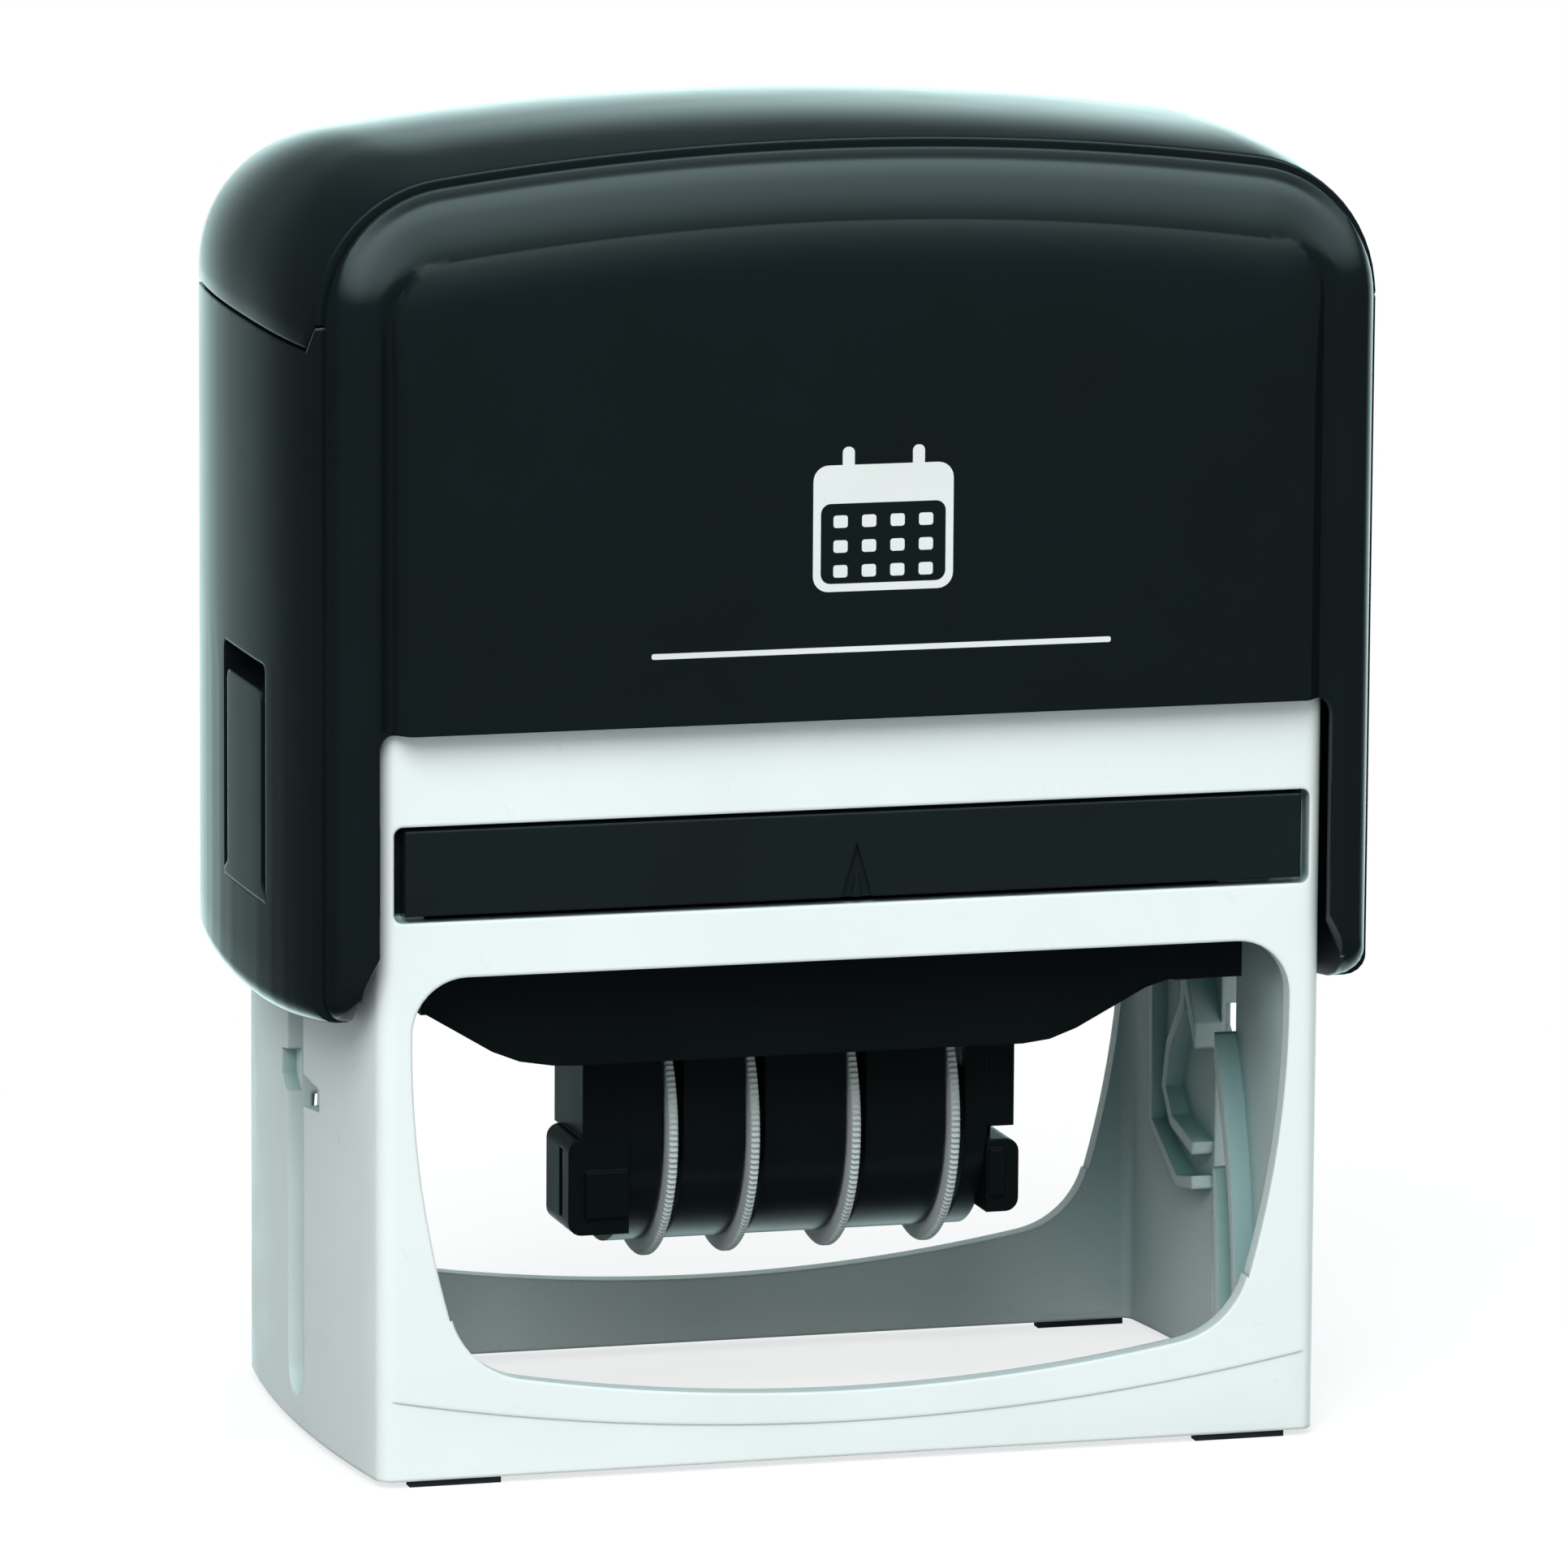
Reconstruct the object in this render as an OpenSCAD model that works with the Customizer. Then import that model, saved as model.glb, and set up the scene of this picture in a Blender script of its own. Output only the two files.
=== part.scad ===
// Self-inking rotary date stamp: a cap that is pressed down over a base frame,
// a swivel carrier that turns the text plate and date bands from the ink pad
// to the paper, and a pull-out ink tray. Origin: centre of the footprint, on the
// table. +X to the right, +Y to the back, +Z up. All sizes in millimetres.

/* [Base frame] */
// Width of the base across its front corners
base_w = 86.4; // [85:0.2:88]
// Depth of the base
base_d = 50; // [49:0.2:52]
// How far each side of the base swells outwards at mid-depth
base_bulge = 1.7; // [0.5:0.1:1.8]
// Radius of the upright corners
base_corner = 1.5; // [1:0.1:2]
// Thickness of the side walls
side_wall = 2.2; // [2:0.1:2.4]
// Thickness of the front and back walls
front_wall = 1.8; // [1.5:0.1:2]
// Height of the top of the base walls, inside the cap
base_top = 72.5; // [70:0.5:73]
// Height of the sill at the middle of each window
sill_z = 6.6; // [5:0.1:7]
// Height of the top of each window
window_top = 45.6; // [44:0.1:47]
// Width of each window at its widest
window_w = 80.8; // [78:0.1:81.4]
// Thickness of the rubber feet below the base
foot_h = 0.6; // [0.4:0.1:0.8]

/* [Cap] */
// Width of the cap across its front edges
cap_w = 96; // [95:0.5:98]
// Depth of the cap rims
rim_d = 52.8; // [52.4:0.2:54]
// How far each side of the cap swells outwards at mid-depth
cap_bulge = 1.8; // [1.4:0.1:2.5]
// Height of the crown of the cap
cap_top = 119.6; // [119:0.2:122]
// Height of the lower edge of the front and back panels
panel_z = 67.5; // [66:0.5:69]
// Height of the lowest point of the cap legs
leg_z = 40; // [39.5:0.1:40.2]
// Height of the parting line between top cover and cap housing
cover_z = 100.8; // [96:0.2:102]
// Thickness of the top cover
cover_t = 1.6; // [1.4:0.1:1.7]
// How far the front and back panels stand proud of the rims
panel_proud = 1; // [0.5:0.1:1.4]

/* [Swivel mechanism] */
// Travel of the cap from rest to the full impression
stroke = 37; // [36:0.5:37.5]
// Height of the printing face above the pivot
face_h = 6; // [5.8:0.1:6.2]
// Radius of the pivot pins
pin_r = 2; // [1.8:0.1:2.1]
// Distance from the pivot to each cam peg
cam_r = 7; // [6:0.5:7.5]
// Radius of the cam pegs
peg_r = 1.6; // [1.4:0.1:1.8]
// Length of the text plate
plate_w = 76; // [70:1:76]
// Depth of the text plate
plate_d = 37; // [34:1:37]

/* [Ink tray] */
// Height of the lower edge of the tray front
tray_z = 51.2; // [51:0.1:51.6]
// Height of the tray front
tray_h = 8.2; // [7.8:0.1:8.4]
// Width of the tray front
tray_w = 83.6; // [82:0.1:84]

/* [Date unit] */
// Radius of the setting wheels
wheel_r = 12.9; // [12.2:0.1:13]
// Thickness of the setting wheels
wheel_t = 0.9; // [0.8:0.1:1.2]
// Number of serrations round a setting wheel
serrations = 72; // [48:12:96]
// Height of the wheel axle
axle_z = 27.5; // [27:0.1:28]
// Radius of the wheel axle
axle_r = 1.5; // [1.3:0.1:1.6]
// Radius of the shell round the bands
shell_r = 11.4; // [11:0.1:11.6]

/* [Hidden] */
$fn = 48;

black_gloss = [0.03, 0.035, 0.04];
black_satin = [0.06, 0.06, 0.065];
white_gloss = [0.92, 0.92, 0.9];
wheel_grey = [0.72, 0.73, 0.73];
rubber_dark = [0.16, 0.15, 0.15];
steel = [0.7, 0.7, 0.72];
felt_blue = [0.1, 0.12, 0.3];

eps = 0.01;
run_gap = 0.05;
slide_gap = 0.4;
far = 200;

base_hw = base_w / 2;
base_hd = base_d / 2;
pivot_z = stroke + face_h;
face_z = pivot_z + face_h;
deck_z = 61;
deck_t = 2;
post_r = 5.5;
ceiling_z = 113.5;
slot_hw = 2.9;
slot_bottom = 3.1;
groove_hw = peg_r + 0.3;
groove_floor = base_hw;
rail_x = 38.9;
carrier_hw = 38;
ear_x = 40;
pad_z = face_z + 2.7;
tab_z = 49.5;
tab_h = 18.3;
tab_hw = 7;
tab_slot = 2.6;
tab_t = 2.7;

// Date unit: the x positions of wheels, end plates and bands
wheel_x = [-13.2, -5.6, 3.8, 13.1];
unit_left = -17;
unit_right = 16.4;
end_t = 1.4;
drum_r = 4;
band_gap = 0.1;
band_t = 1;
digit_h = 0.4;
band_hw = drum_r + band_gap + band_t;
opening_hd = band_hw + 0.5;
slab_t = 2;
plate_t = 2.3;
slab_top = face_z - plate_t;
skirt_t = 1.6;

// Points of an arc about c, from angle a0 to a1 in n steps
function arc(c, r, a0, a1, n) =
    [for (i = [0:n]) let (a = a0 + (a1 - a0) * i / n) [c[0] + r * cos(a), c[1] + r * sin(a)]];

// Right half of a rounded rectangle, from its front corner to its back corner
function side_points(hw, hd, r) = concat(
    arc([hw - r, r - hd], r, -90, 0, 5),
    [for (i = [1:7]) [hw, (hd - r) * (i / 4 - 1)]],
    arc([hw - r, hd - r], r, 0, 90, 5));

// Rounded rectangle whose two sides swell by b at mid-depth
function plan(hw, hd, r, b) =
    let (s = side_points(hw, hd, r))
    [for (p = concat(s, [for (q = s) -q])) [p[0] * (1 + b / hw * (1 - pow(p[1] / hd, 2))), p[1]]];

// A profile drawn with its own y as height, made into a bar along Y or along X
module along_y(length) rotate([90, 0, 0]) linear_extrude(length, center = true) children();
module along_x(x0, x1) translate([x0, 0, 0]) rotate([90, 0, 90]) linear_extrude(x1 - x0) children();
module rod(r, x0, x1) translate([x0, 0, 0]) rotate([0, 90, 0]) cylinder(r = r, h = x1 - x0);
module block(x0, x1, y0, y1, z0, z1) translate([x0, y0, z0]) cube([x1 - x0, y1 - y0, z1 - z0]);
module both_sides() {
    children();
    mirror([1, 0, 0]) children();
}
module front_and_back() {
    children();
    mirror([0, 1, 0]) children();
}

// ---------- base frame ----------

// Window outline, right half: a sagging sill, a round corner, a curved jamb, a round top corner
sill_r = 173;
sill_a = asin(30.5 / sill_r);
corner_r = 8;
jamb_r = 90;
jamb_lean = 16;
top_r = 5;
sill_end = [sill_r * sin(sill_a), sill_z + sill_r * (1 - cos(sill_a))];
corner_c = [sill_end[0] - corner_r * sin(sill_a), sill_end[1] + corner_r * cos(sill_a)];
function window_half() = concat(
    arc([0, sill_z + sill_r], sill_r, -90, -90 + sill_a, 8),
    arc(corner_c, corner_r, -90 + sill_a, -jamb_lean, 8),
    arc([window_w / 2 - jamb_r, window_top - top_r - 1], jamb_r, -jamb_lean, 0, 8),
    arc([window_w / 2 - top_r, window_top - top_r], top_r, 0, 90, 8));
function mirrored(half) = concat(half, [for (i = [len(half) - 1:-1:0]) [-half[i][0], half[i][1]]]);

// Path of a cam peg as the cap goes down: the carrier turns half a turn over the stroke
function peg_at(t) = [cam_r * cos(180 * t), pivot_z - stroke * t + cam_r * sin(180 * t)];
function peg_side(t, w) =
    let (d = peg_at(t + 0.001) - peg_at(t - 0.001), n = [-d[1], d[0]] / norm(d))
    peg_at(t) + w * n;
function cam_ribbon(w, t0, t1, n) = concat(
    [for (i = [0:n]) peg_side(t0 + (t1 - t0) * i / n, w)],
    [for (i = [n:-1:0]) peg_side(t0 + (t1 - t0) * i / n, -w)]);

module cam_track(w, x0, x1) {
    along_x(x0, x1) polygon(cam_ribbon(w, 0, 1, 24));
    for (t = [0, 1])
        translate([0, peg_at(t)[0], peg_at(t)[1]]) rod(w, x0, x1);
}

module base_side_details() {
    // rail that carries the ink tray
    block(rail_x, base_hw - side_wall / 2, -base_hd + front_wall, base_hd - front_wall, tray_z - 1.3, tray_z - 0.2);
    // raised border round the cam track, tied into the side wall
    intersection() {
        cam_track(groove_hw + 1.3, base_hw - side_wall - 0.4, base_hw);
        block(0, far, -far, far, foot_h, tray_z - 1.3);
    }
}

module base_side_cuts() {
    cam_track(groove_hw, 30, groove_floor);
    // slot for the pivot pin, and the crossing notches of the cam
    translate([0, 0, pivot_z]) rod(slot_hw, 30, far);
    block(30, far, -slot_hw, slot_hw, slot_bottom, pivot_z);
    front_and_back() along_x(30, far) polygon(cam_ribbon(groove_hw, 0.4, 0.62, 8));
}

module base_walls() {
    difference() {
        translate([0, 0, foot_h]) linear_extrude(base_top - foot_h)
            polygon(plan(base_hw, base_hd, base_corner, base_bulge));
        translate([0, 0, -1]) linear_extrude(deck_z + 1)
            polygon(plan(base_hw - side_wall, base_hd - front_wall, 1, base_bulge));
        translate([0, 0, deck_z + deck_t]) linear_extrude(far)
            polygon(plan(base_hw - side_wall, base_hd - front_wall, 1, base_bulge));
        along_y(far) polygon(mirrored(window_half()));
    }
}

module base_frame() {
    color(white_gloss) difference() {
        union() {
            base_walls();
            both_sides() base_side_details();
            translate([0, 0, deck_z]) cylinder(r = post_r, h = base_top - deck_z - 1);
        }
        both_sides() base_side_cuts();
        block(-tray_w / 2 - 0.2, tray_w / 2 + 0.2, -far, -base_hd + front_wall + 0.3, tray_z - 0.2, tray_z + tray_h + 0.2);
        foot_blocks();
    }
}

// ---------- rubber feet ----------

module foot_blocks() {
    both_sides() front_and_back()
        block(base_hw - 11, base_hw - 2.7, base_hd - 1.65, base_hd - 0.35, 0, 2 * foot_h);
}

module rubber_feet() {
    color(rubber_dark) foot_blocks();
}

// ---------- cap ----------

crown_rx = 270;
crown_ry = 160;
cap_corner_r = 13;
leg_rise = 2;
leg_corner_r = 3;

// Outer form of the cap, drawn in by an inset
function crown_half(hw, top, r) =
    let (xc = hw - r, zc = top - xc * xc / (2 * crown_rx) - r)
    concat([[hw, 30]], arc([xc, zc], r, 0, 86, 8), [for (i = [1:5]) let (x = xc * (1 - i / 5)) [x, top - x * x / (2 * crown_rx)]]);
function cap_side(hd, top) = concat(
    [for (i = [-6:6]) let (y = (hd - leg_corner_r) * i / 6) [y, leg_z + leg_rise * pow(y / hd, 2)]],
    arc([hd - leg_corner_r, leg_z + leg_rise + leg_corner_r], leg_corner_r, -60, 0, 5),
    [for (i = [6:-1:-6]) let (y = hd * i / 6) [y, top - y * y / (2 * crown_ry)]],
    arc([leg_corner_r - hd, leg_z + leg_rise + leg_corner_r], leg_corner_r, 180, 240, 5));

module cap_form(inset) {
    hd = rim_d / 2 - inset;
    intersection() {
        linear_extrude(far) polygon(plan(cap_w / 2 - inset, hd, 2.5, cap_bulge));
        along_y(far) polygon(mirrored(crown_half(cap_w / 2 + cap_bulge - inset, cap_top - inset, cap_corner_r - inset)));
        along_x(-far, far) polygon(cap_side(hd, cap_top - inset));
    }
}

// Region of the cap that the top cover takes up
module cover_zone(gap) {
    difference() {
        block(-far, far, -rim_d / 2 + 3.6 - gap, rim_d / 2 - 3.6 + gap, cover_z - gap, far);
        cap_form(cover_t);
    }
}

// Front panel: flat below, its arched top edge below the rim
panel_hw = 40.2;
panel_top = 112.4;
panel_arch_r = 165;
valley_w = 3;
valley_depth = 0.3;
module panel_shape(grow) {
    hw = panel_hw + grow;
    top = panel_top + grow;
    polygon(concat([[hw, panel_z], [hw, top - hw * hw / (2 * panel_arch_r) - 3], [hw - 2, top - hw * hw / (2 * panel_arch_r)]],
        [for (i = [-8:8]) let (x = -(hw - 3) * i / 8) [x, top - x * x / (2 * panel_arch_r)]],
        [[2 - hw, top - hw * hw / (2 * panel_arch_r)], [-hw, top - hw * hw / (2 * panel_arch_r) - 3], [-hw, panel_z]]));
}

module cap_cavity() {
    cavity_hw = base_hw + slide_gap + base_bulge;
    cavity_r = 6;
    intersection() {
        linear_extrude(far) polygon(plan(base_hw + slide_gap, base_hd + 0.3, base_corner, base_bulge));
        along_y(far) polygon(mirrored(concat([[cavity_hw, 30]], arc([cavity_hw - cavity_r, ceiling_z - cavity_r], cavity_r, 0, 90, 8))));
    }
}

module cap_side_opening() {
    block(base_hw - 2, far, -tab_hw - tab_slot, tab_hw + tab_slot, tab_z, tab_z + tab_h + 3);
}

module cap_housing() {
    cup_r = 10.4;
    color(black_gloss) difference() {
        union() {
            difference() {
                union() {
                    cap_form(0);
                    along_y(rim_d + 2 * panel_proud) panel_shape(0);
                }
                cover_zone(0.1);
                cap_cavity();
                // valley between the panel and the rim
                front_and_back() translate([0, -rim_d / 2, 0]) along_y(2 * valley_depth) difference() {
                    panel_shape(valley_w);
                    panel_shape(0);
                }
                // open front and back between the legs
                block(-base_hw - slide_gap, base_hw + slide_gap, -far, far, 0, panel_z);
            }
            // cup that centres the return spring
            translate([0, 0, ceiling_z - 4]) cylinder(r = cup_r, h = 4 + eps);
        }
        translate([0, 0, ceiling_z - 5]) cylinder(r = cup_r - 1.1, h = 5);
        both_sides() {
            translate([0, 0, pivot_z]) rod(pin_r, base_hw, cap_w / 2 + 0.4);
            cap_side_opening();
            // sloped cut at the inner lower corner of each leg
            along_y(far) polygon([[base_hw, 0], [base_hw + 1.7, leg_z + 1], [base_hw + 1.7, leg_z + 2], [base_hw, leg_z + 7]]);
        }
    }
}

module top_cover() {
    color(black_gloss) intersection() {
        cap_form(0);
        cover_zone(0);
    }
}

module pivot_pin() {
    color(steel) translate([0, 0, pivot_z]) {
        rod(pin_r, 35.2, cap_w / 2 + 0.4);
        rod(pin_r + 0.5, ear_x + 0.3, base_hw + 1.6);
    }
}
module pivot_pin_right() pivot_pin();
module pivot_pin_left() mirror([1, 0, 0]) pivot_pin();

// Flexing tongue that sits in the opening of a leg; it bends about its round lower end
module lock_tab() {
    r = tab_t / 2;
    x = cap_w / 2 + cap_bulge - 0.16 - r;
    z = tab_z + 0.2 + r;
    color(black_gloss) {
        intersection() {
            linear_extrude(far) polygon(plan(cap_w / 2, rim_d / 2, 2.5, cap_bulge));
            block(x - r, far, -tab_hw, tab_hw, z, tab_z + tab_h);
        }
        translate([x, 0, z]) rotate([90, 0, 0]) cylinder(r = r, h = 2 * tab_hw, center = true);
    }
}
module lock_tab_right() lock_tab();
module lock_tab_left() mirror([1, 0, 0]) lock_tab();

// ---------- return spring ----------

coil_r = 8;
wire_r = 0.7;
coils = 7;
wire_sides = 8;
coil_steps = 16;

// Centre of the wire a share t along the coil; its ends lie flat on deck and ceiling
function coil_at(t) =
    let (a = 360 * coils * t, lift = t < 0.1 ? 5 * t * t : (t > 0.9 ? 1 - 5 * pow(1 - t, 2) : 0.05 + (t - 0.1) * 1.125),
        z0 = deck_z + deck_t + wire_r + eps)
    [coil_r * cos(a), coil_r * sin(a), z0 + (ceiling_z - wire_r - eps - z0) * lift];

module return_spring() {
    n = coils * coil_steps;
    points = [for (i = [0:n]) let (c = coil_at(i / n), a = 360 * coils * i / n)
        for (k = [0:wire_sides - 1]) let (b = 360 * k / wire_sides)
            c + wire_r * [cos(a) * cos(b), sin(a) * cos(b), sin(b)]];
    sides = [for (i = [0:n - 1], k = [0:wire_sides - 1]) let (k2 = (k + 1) % wire_sides)
        [i * wire_sides + k, i * wire_sides + k2, (i + 1) * wire_sides + k2, (i + 1) * wire_sides + k]];
    ends = [[for (k = [wire_sides - 1:-1:0]) k], [for (k = [0:wire_sides - 1]) n * wire_sides + k]];
    color(steel) polyhedron(points, concat(sides, ends));
}

// ---------- ink tray ----------

tray_front_y = -base_hd - 0.1;
tray_back_y = base_hd - front_wall - 1.2;
tray_hw = 40.4;
tray_wall = 1.8;

module tray_arrow() {
    // rises from the lower edge of the tray front
    arrow_w = 2.8;
    arrow_h = 4.9;
    stroke_w = 0.9;
    translate([0, tray_front_y, tray_z]) along_y(0.8) difference() {
        polygon([[-arrow_w / 2, 0], [arrow_w / 2, 0], [0, arrow_h]]);
        polygon([[-arrow_w / 2 + stroke_w, -eps], [arrow_w / 2 - stroke_w, -eps], [0, arrow_h - 3 * stroke_w]]);
    }
}

module ink_tray() {
    color(black_gloss) difference() {
        union() {
            block(-tray_w / 2, tray_w / 2, tray_front_y, -base_hd + front_wall + 0.2, tray_z, tray_z + tray_h);
            block(-tray_hw, tray_hw, -base_hd + front_wall + 0.1, tray_back_y, tray_z + 0.2, tray_z + tray_h - 0.2);
        }
        pad_block();
        tray_arrow();
    }
}

module pad_block() {
    block(-tray_hw + tray_wall, tray_hw - tray_wall, -base_hd + 4.6, tray_back_y - tray_wall, tray_z - 1, tray_z + 5.8);
}

module ink_pad() {
    color(felt_blue) intersection() {
        pad_block();
        block(-far, far, -far, far, pad_z, far);
    }
}

// ---------- swivel carrier ----------

skirt_end_z = pivot_z - 1.9;
skirt_low_z = pivot_z - 7.1;

// Lower edge of the skirt: deeper where the date unit hangs
module skirt_face(hw) {
    polygon([[-hw, slab_top], [-hw, skirt_end_z + 0.3], [-31.5, skirt_end_z - 3.6], [-29, skirt_low_z + 0.6], [-26, skirt_low_z + 0.1],
        [-24, skirt_low_z], [17.5, skirt_low_z], [20, skirt_low_z + 0.3], [22.5, skirt_low_z + 1.2], [29, skirt_end_z - 0.6],
        [31, skirt_end_z], [hw, skirt_end_z], [hw, slab_top]]);
}

module plate_carrier() {
    hd = plate_d / 2;
    color(black_satin) difference() {
        union() {
            block(-carrier_hw, carrier_hw, -hd, hd, slab_top - slab_t, slab_top);
            front_and_back() translate([0, -hd + skirt_t / 2, 0]) along_y(skirt_t) skirt_face(carrier_hw);
            both_sides() {
                block(carrier_hw - skirt_t, carrier_hw, -hd, hd, skirt_end_z, slab_top);
                // pivot ear with its boss, and the arm of the cam peg
                translate([0, 0, pivot_z]) {
                    rod(face_h - 0.4, carrier_hw - 1, ear_x);
                    rod(pin_r + 1.8, 34.5, ear_x);
                    block(carrier_hw - 1, ear_x, 0, cam_r, -peg_r - 1, peg_r + 1);
                    translate([0, cam_r, 0]) {
                        rod(peg_r + 1, carrier_hw - 1, ear_x);
                        rod(peg_r, carrier_hw, groove_floor - 0.3);
                    }
                }
            }
        }
        block(unit_left, unit_right, -opening_hd, opening_hd, 0, far);
        both_sides() translate([0, 0, pivot_z]) rod(pin_r + run_gap, 30, far);
        block(-far, far, -far, far, slab_top, far);
    }
}

module text_plate() {
    rim = 3;
    color(rubber_dark) difference() {
        union() {
            block(-plate_w / 2, plate_w / 2, -plate_d / 2, plate_d / 2, slab_top, face_z - 0.8);
            // raised frame line and raised bars either side of the date
            difference() {
                block(-plate_w / 2 + 1, plate_w / 2 - 1, -plate_d / 2 + 1, plate_d / 2 - 1, face_z - 0.8, face_z);
                block(-plate_w / 2 + 2, plate_w / 2 - 2, -plate_d / 2 + 2, plate_d / 2 - 2, face_z - 0.8, far);
            }
            for (y = [-13.5, -9.5, 9.5, 13.5])
                block(-plate_w / 2 + 2 * rim, plate_w / 2 - 2 * rim, y - 1.1, y + 1.1, face_z - 0.8 - eps, face_z);
        }
        block(unit_left, unit_right, -opening_hd, opening_hd, 0, far);
    }
}

// ---------- date unit ----------

module dater_housing() {
    inner_r = shell_r - 1.5;
    top = slab_top - slab_t;
    color(black_satin) difference() {
        union() {
            translate([0, 0, axle_z]) rod(shell_r, unit_left, unit_right);
            block(unit_left, unit_right, -shell_r, shell_r, axle_z, top);
        }
        translate([0, 0, axle_z]) rod(inner_r, -far, far);
        block(-far, far, -inner_r, inner_r, axle_z, far);
        for (x = wheel_x)
            block(x - wheel_t / 2 - 0.3, x + wheel_t / 2 + 0.8, -far, far, 0, axle_z + 9.2);
    }
}

// End of the date unit: a plate that carries the axle, with an arm and a clip block at its
// front. Drawn for the left end, outwards from x = 0.
clip_r = 1.2;
module dater_end(arm_w, arm_z, clip_w, clip_z0, clip_z1) {
    top = slab_top - slab_t;
    difference() {
        union() {
            translate([0, 0, axle_z]) rod(8, -end_t, 0);
            block(-end_t, 0, -8, 8, axle_z, top);
            block(-arm_w, 0, -shell_r, -1.5, arm_z, top);
            // clip block with rounded outer corners and a raised pad on its front
            translate([0, (-shell_r - 3.6) / 2, 0]) along_y(shell_r - 3.6) polygon(concat(
                [[0, clip_z0]], arc([clip_r - clip_w, clip_z0 + clip_r], clip_r, 270, 180, 5),
                arc([clip_r - clip_w, clip_z1 - clip_r], clip_r, 180, 90, 5), [[0, clip_z1]]));
            block(1.5 - clip_w, -0.2, -shell_r - 0.4, -shell_r + 1, clip_z0 + 1.6, clip_z0 + 5.8);
        }
        translate([0, 0, axle_z]) rod(axle_r, -far, far);
        // latch slot in the outer side of the clip
        block(-clip_w - 1, 0.9 - clip_w, -9.4, -8.2, clip_z0 + 1.4, clip_z1 - 1.2);
    }
}
module dater_side_left() {
    color(black_satin) translate([unit_left, 0, 0]) dater_end(4.3, axle_z, 5.6, 18.9, 27.7);
}
module dater_side_right() {
    color(black_satin) translate([unit_right, 0, 0]) mirror([1, 0, 0]) dater_end(2.5, axle_z - 0.5, 3, 19.1, 25.8);
}

module band_anvil() {
    color(black_satin) along_x(unit_left, unit_right) polygon(concat(
        [[drum_r - 0.2, axle_z + 14], [drum_r - 0.2, face_z - digit_h - band_t - 1]],
        arc([drum_r - 0.8, face_z - digit_h - band_t - 0.8], 0.6, 0, 90, 4),
        arc([0.8 - drum_r, face_z - digit_h - band_t - 0.8], 0.6, 90, 180, 4),
        [[0.2 - drum_r, axle_z + 14]]));
}

module wheel_axle() {
    color(steel) translate([0, 0, axle_z]) rod(axle_r, unit_left - end_t, unit_right + end_t);
}

function band_right(i) = wheel_x[i] - wheel_t / 2 - 0.2;
function band_left(i) = i == 0 ? unit_left + 0.4 : wheel_x[i - 1] + wheel_t / 2 + 0.3;

// Setting wheel: a serrated disc with the drum that its band runs over
module setting_wheel(i) {
    depth = 0.45;
    x0 = wheel_x[i] - wheel_t / 2;
    x1 = wheel_x[i] + wheel_t / 2;
    color(wheel_grey) translate([0, 0, axle_z]) difference() {
        union() {
            along_x(x0, x1) polygon([for (k = [0:2 * serrations - 1])
                let (a = 180 * k / serrations, r = wheel_r - depth * (k % 2)) [r * cos(a), r * sin(a)]]);
            rod(drum_r, band_left(i) + 0.1, x0 + eps);
            if (i == 3) rod(3, x1 - eps, unit_right - 0.2);
        }
        rod(axle_r + run_gap, -far, far);
    }
}
module day_tens_wheel() setting_wheel(0);
module day_units_wheel() setting_wheel(1);
module month_wheel() setting_wheel(2);
module year_wheel() setting_wheel(3);

// Date band: a loop round the drum below and the anvil above, one digit raised on its face
module band_loop(hw) {
    top = face_z - digit_h - (band_hw - hw);
    r = 1.6 - (band_hw - hw);
    polygon(concat(arc([0, axle_z], hw, 180, 360, 24), arc([hw - r, top - r], r, 0, 90, 5), arc([r - hw, top - r], r, 90, 180, 5)));
}
module date_band(i) {
    color(rubber_dark) {
        along_x(band_left(i), band_right(i)) difference() {
            band_loop(band_hw);
            band_loop(band_hw - band_t);
        }
        block(band_left(i) + 0.4, band_right(i) - 0.4, -1.9, 1.9, face_z - digit_h - eps, face_z);
    }
}
module day_tens_band() date_band(0);
module day_units_band() date_band(1);
module month_band() date_band(2);
module year_band() date_band(3);

base_frame();
rubber_feet();
cap_housing();
top_cover();
pivot_pin_left();
pivot_pin_right();
lock_tab_left();
lock_tab_right();
ink_tray();
ink_pad();
return_spring();
plate_carrier();
text_plate();
dater_housing();
dater_side_left();
dater_side_right();
band_anvil();
wheel_axle();
day_tens_wheel();
day_units_wheel();
month_wheel();
year_wheel();
day_tens_band();
day_units_band();
month_band();
year_band();
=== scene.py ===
import math
import random

import bmesh
import bpy
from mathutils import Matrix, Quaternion, Vector


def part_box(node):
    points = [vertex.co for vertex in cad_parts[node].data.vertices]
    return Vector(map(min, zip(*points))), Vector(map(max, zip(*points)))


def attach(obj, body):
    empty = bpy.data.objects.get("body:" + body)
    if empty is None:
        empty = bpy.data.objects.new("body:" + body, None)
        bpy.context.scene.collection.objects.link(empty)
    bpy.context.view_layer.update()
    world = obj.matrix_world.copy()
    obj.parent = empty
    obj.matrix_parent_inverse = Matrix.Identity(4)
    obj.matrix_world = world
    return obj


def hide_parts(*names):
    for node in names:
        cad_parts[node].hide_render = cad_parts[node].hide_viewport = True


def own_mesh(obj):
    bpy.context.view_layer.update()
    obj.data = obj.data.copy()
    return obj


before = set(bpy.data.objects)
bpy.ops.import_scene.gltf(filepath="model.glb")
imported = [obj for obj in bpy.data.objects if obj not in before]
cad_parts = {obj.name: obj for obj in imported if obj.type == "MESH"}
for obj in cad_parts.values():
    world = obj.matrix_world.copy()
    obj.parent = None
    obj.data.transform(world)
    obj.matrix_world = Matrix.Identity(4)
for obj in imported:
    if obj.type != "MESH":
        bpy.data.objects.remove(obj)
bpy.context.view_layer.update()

# Points and lengths are in millimetres until add_mesh turns them into metres.
MM = 0.001
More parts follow.
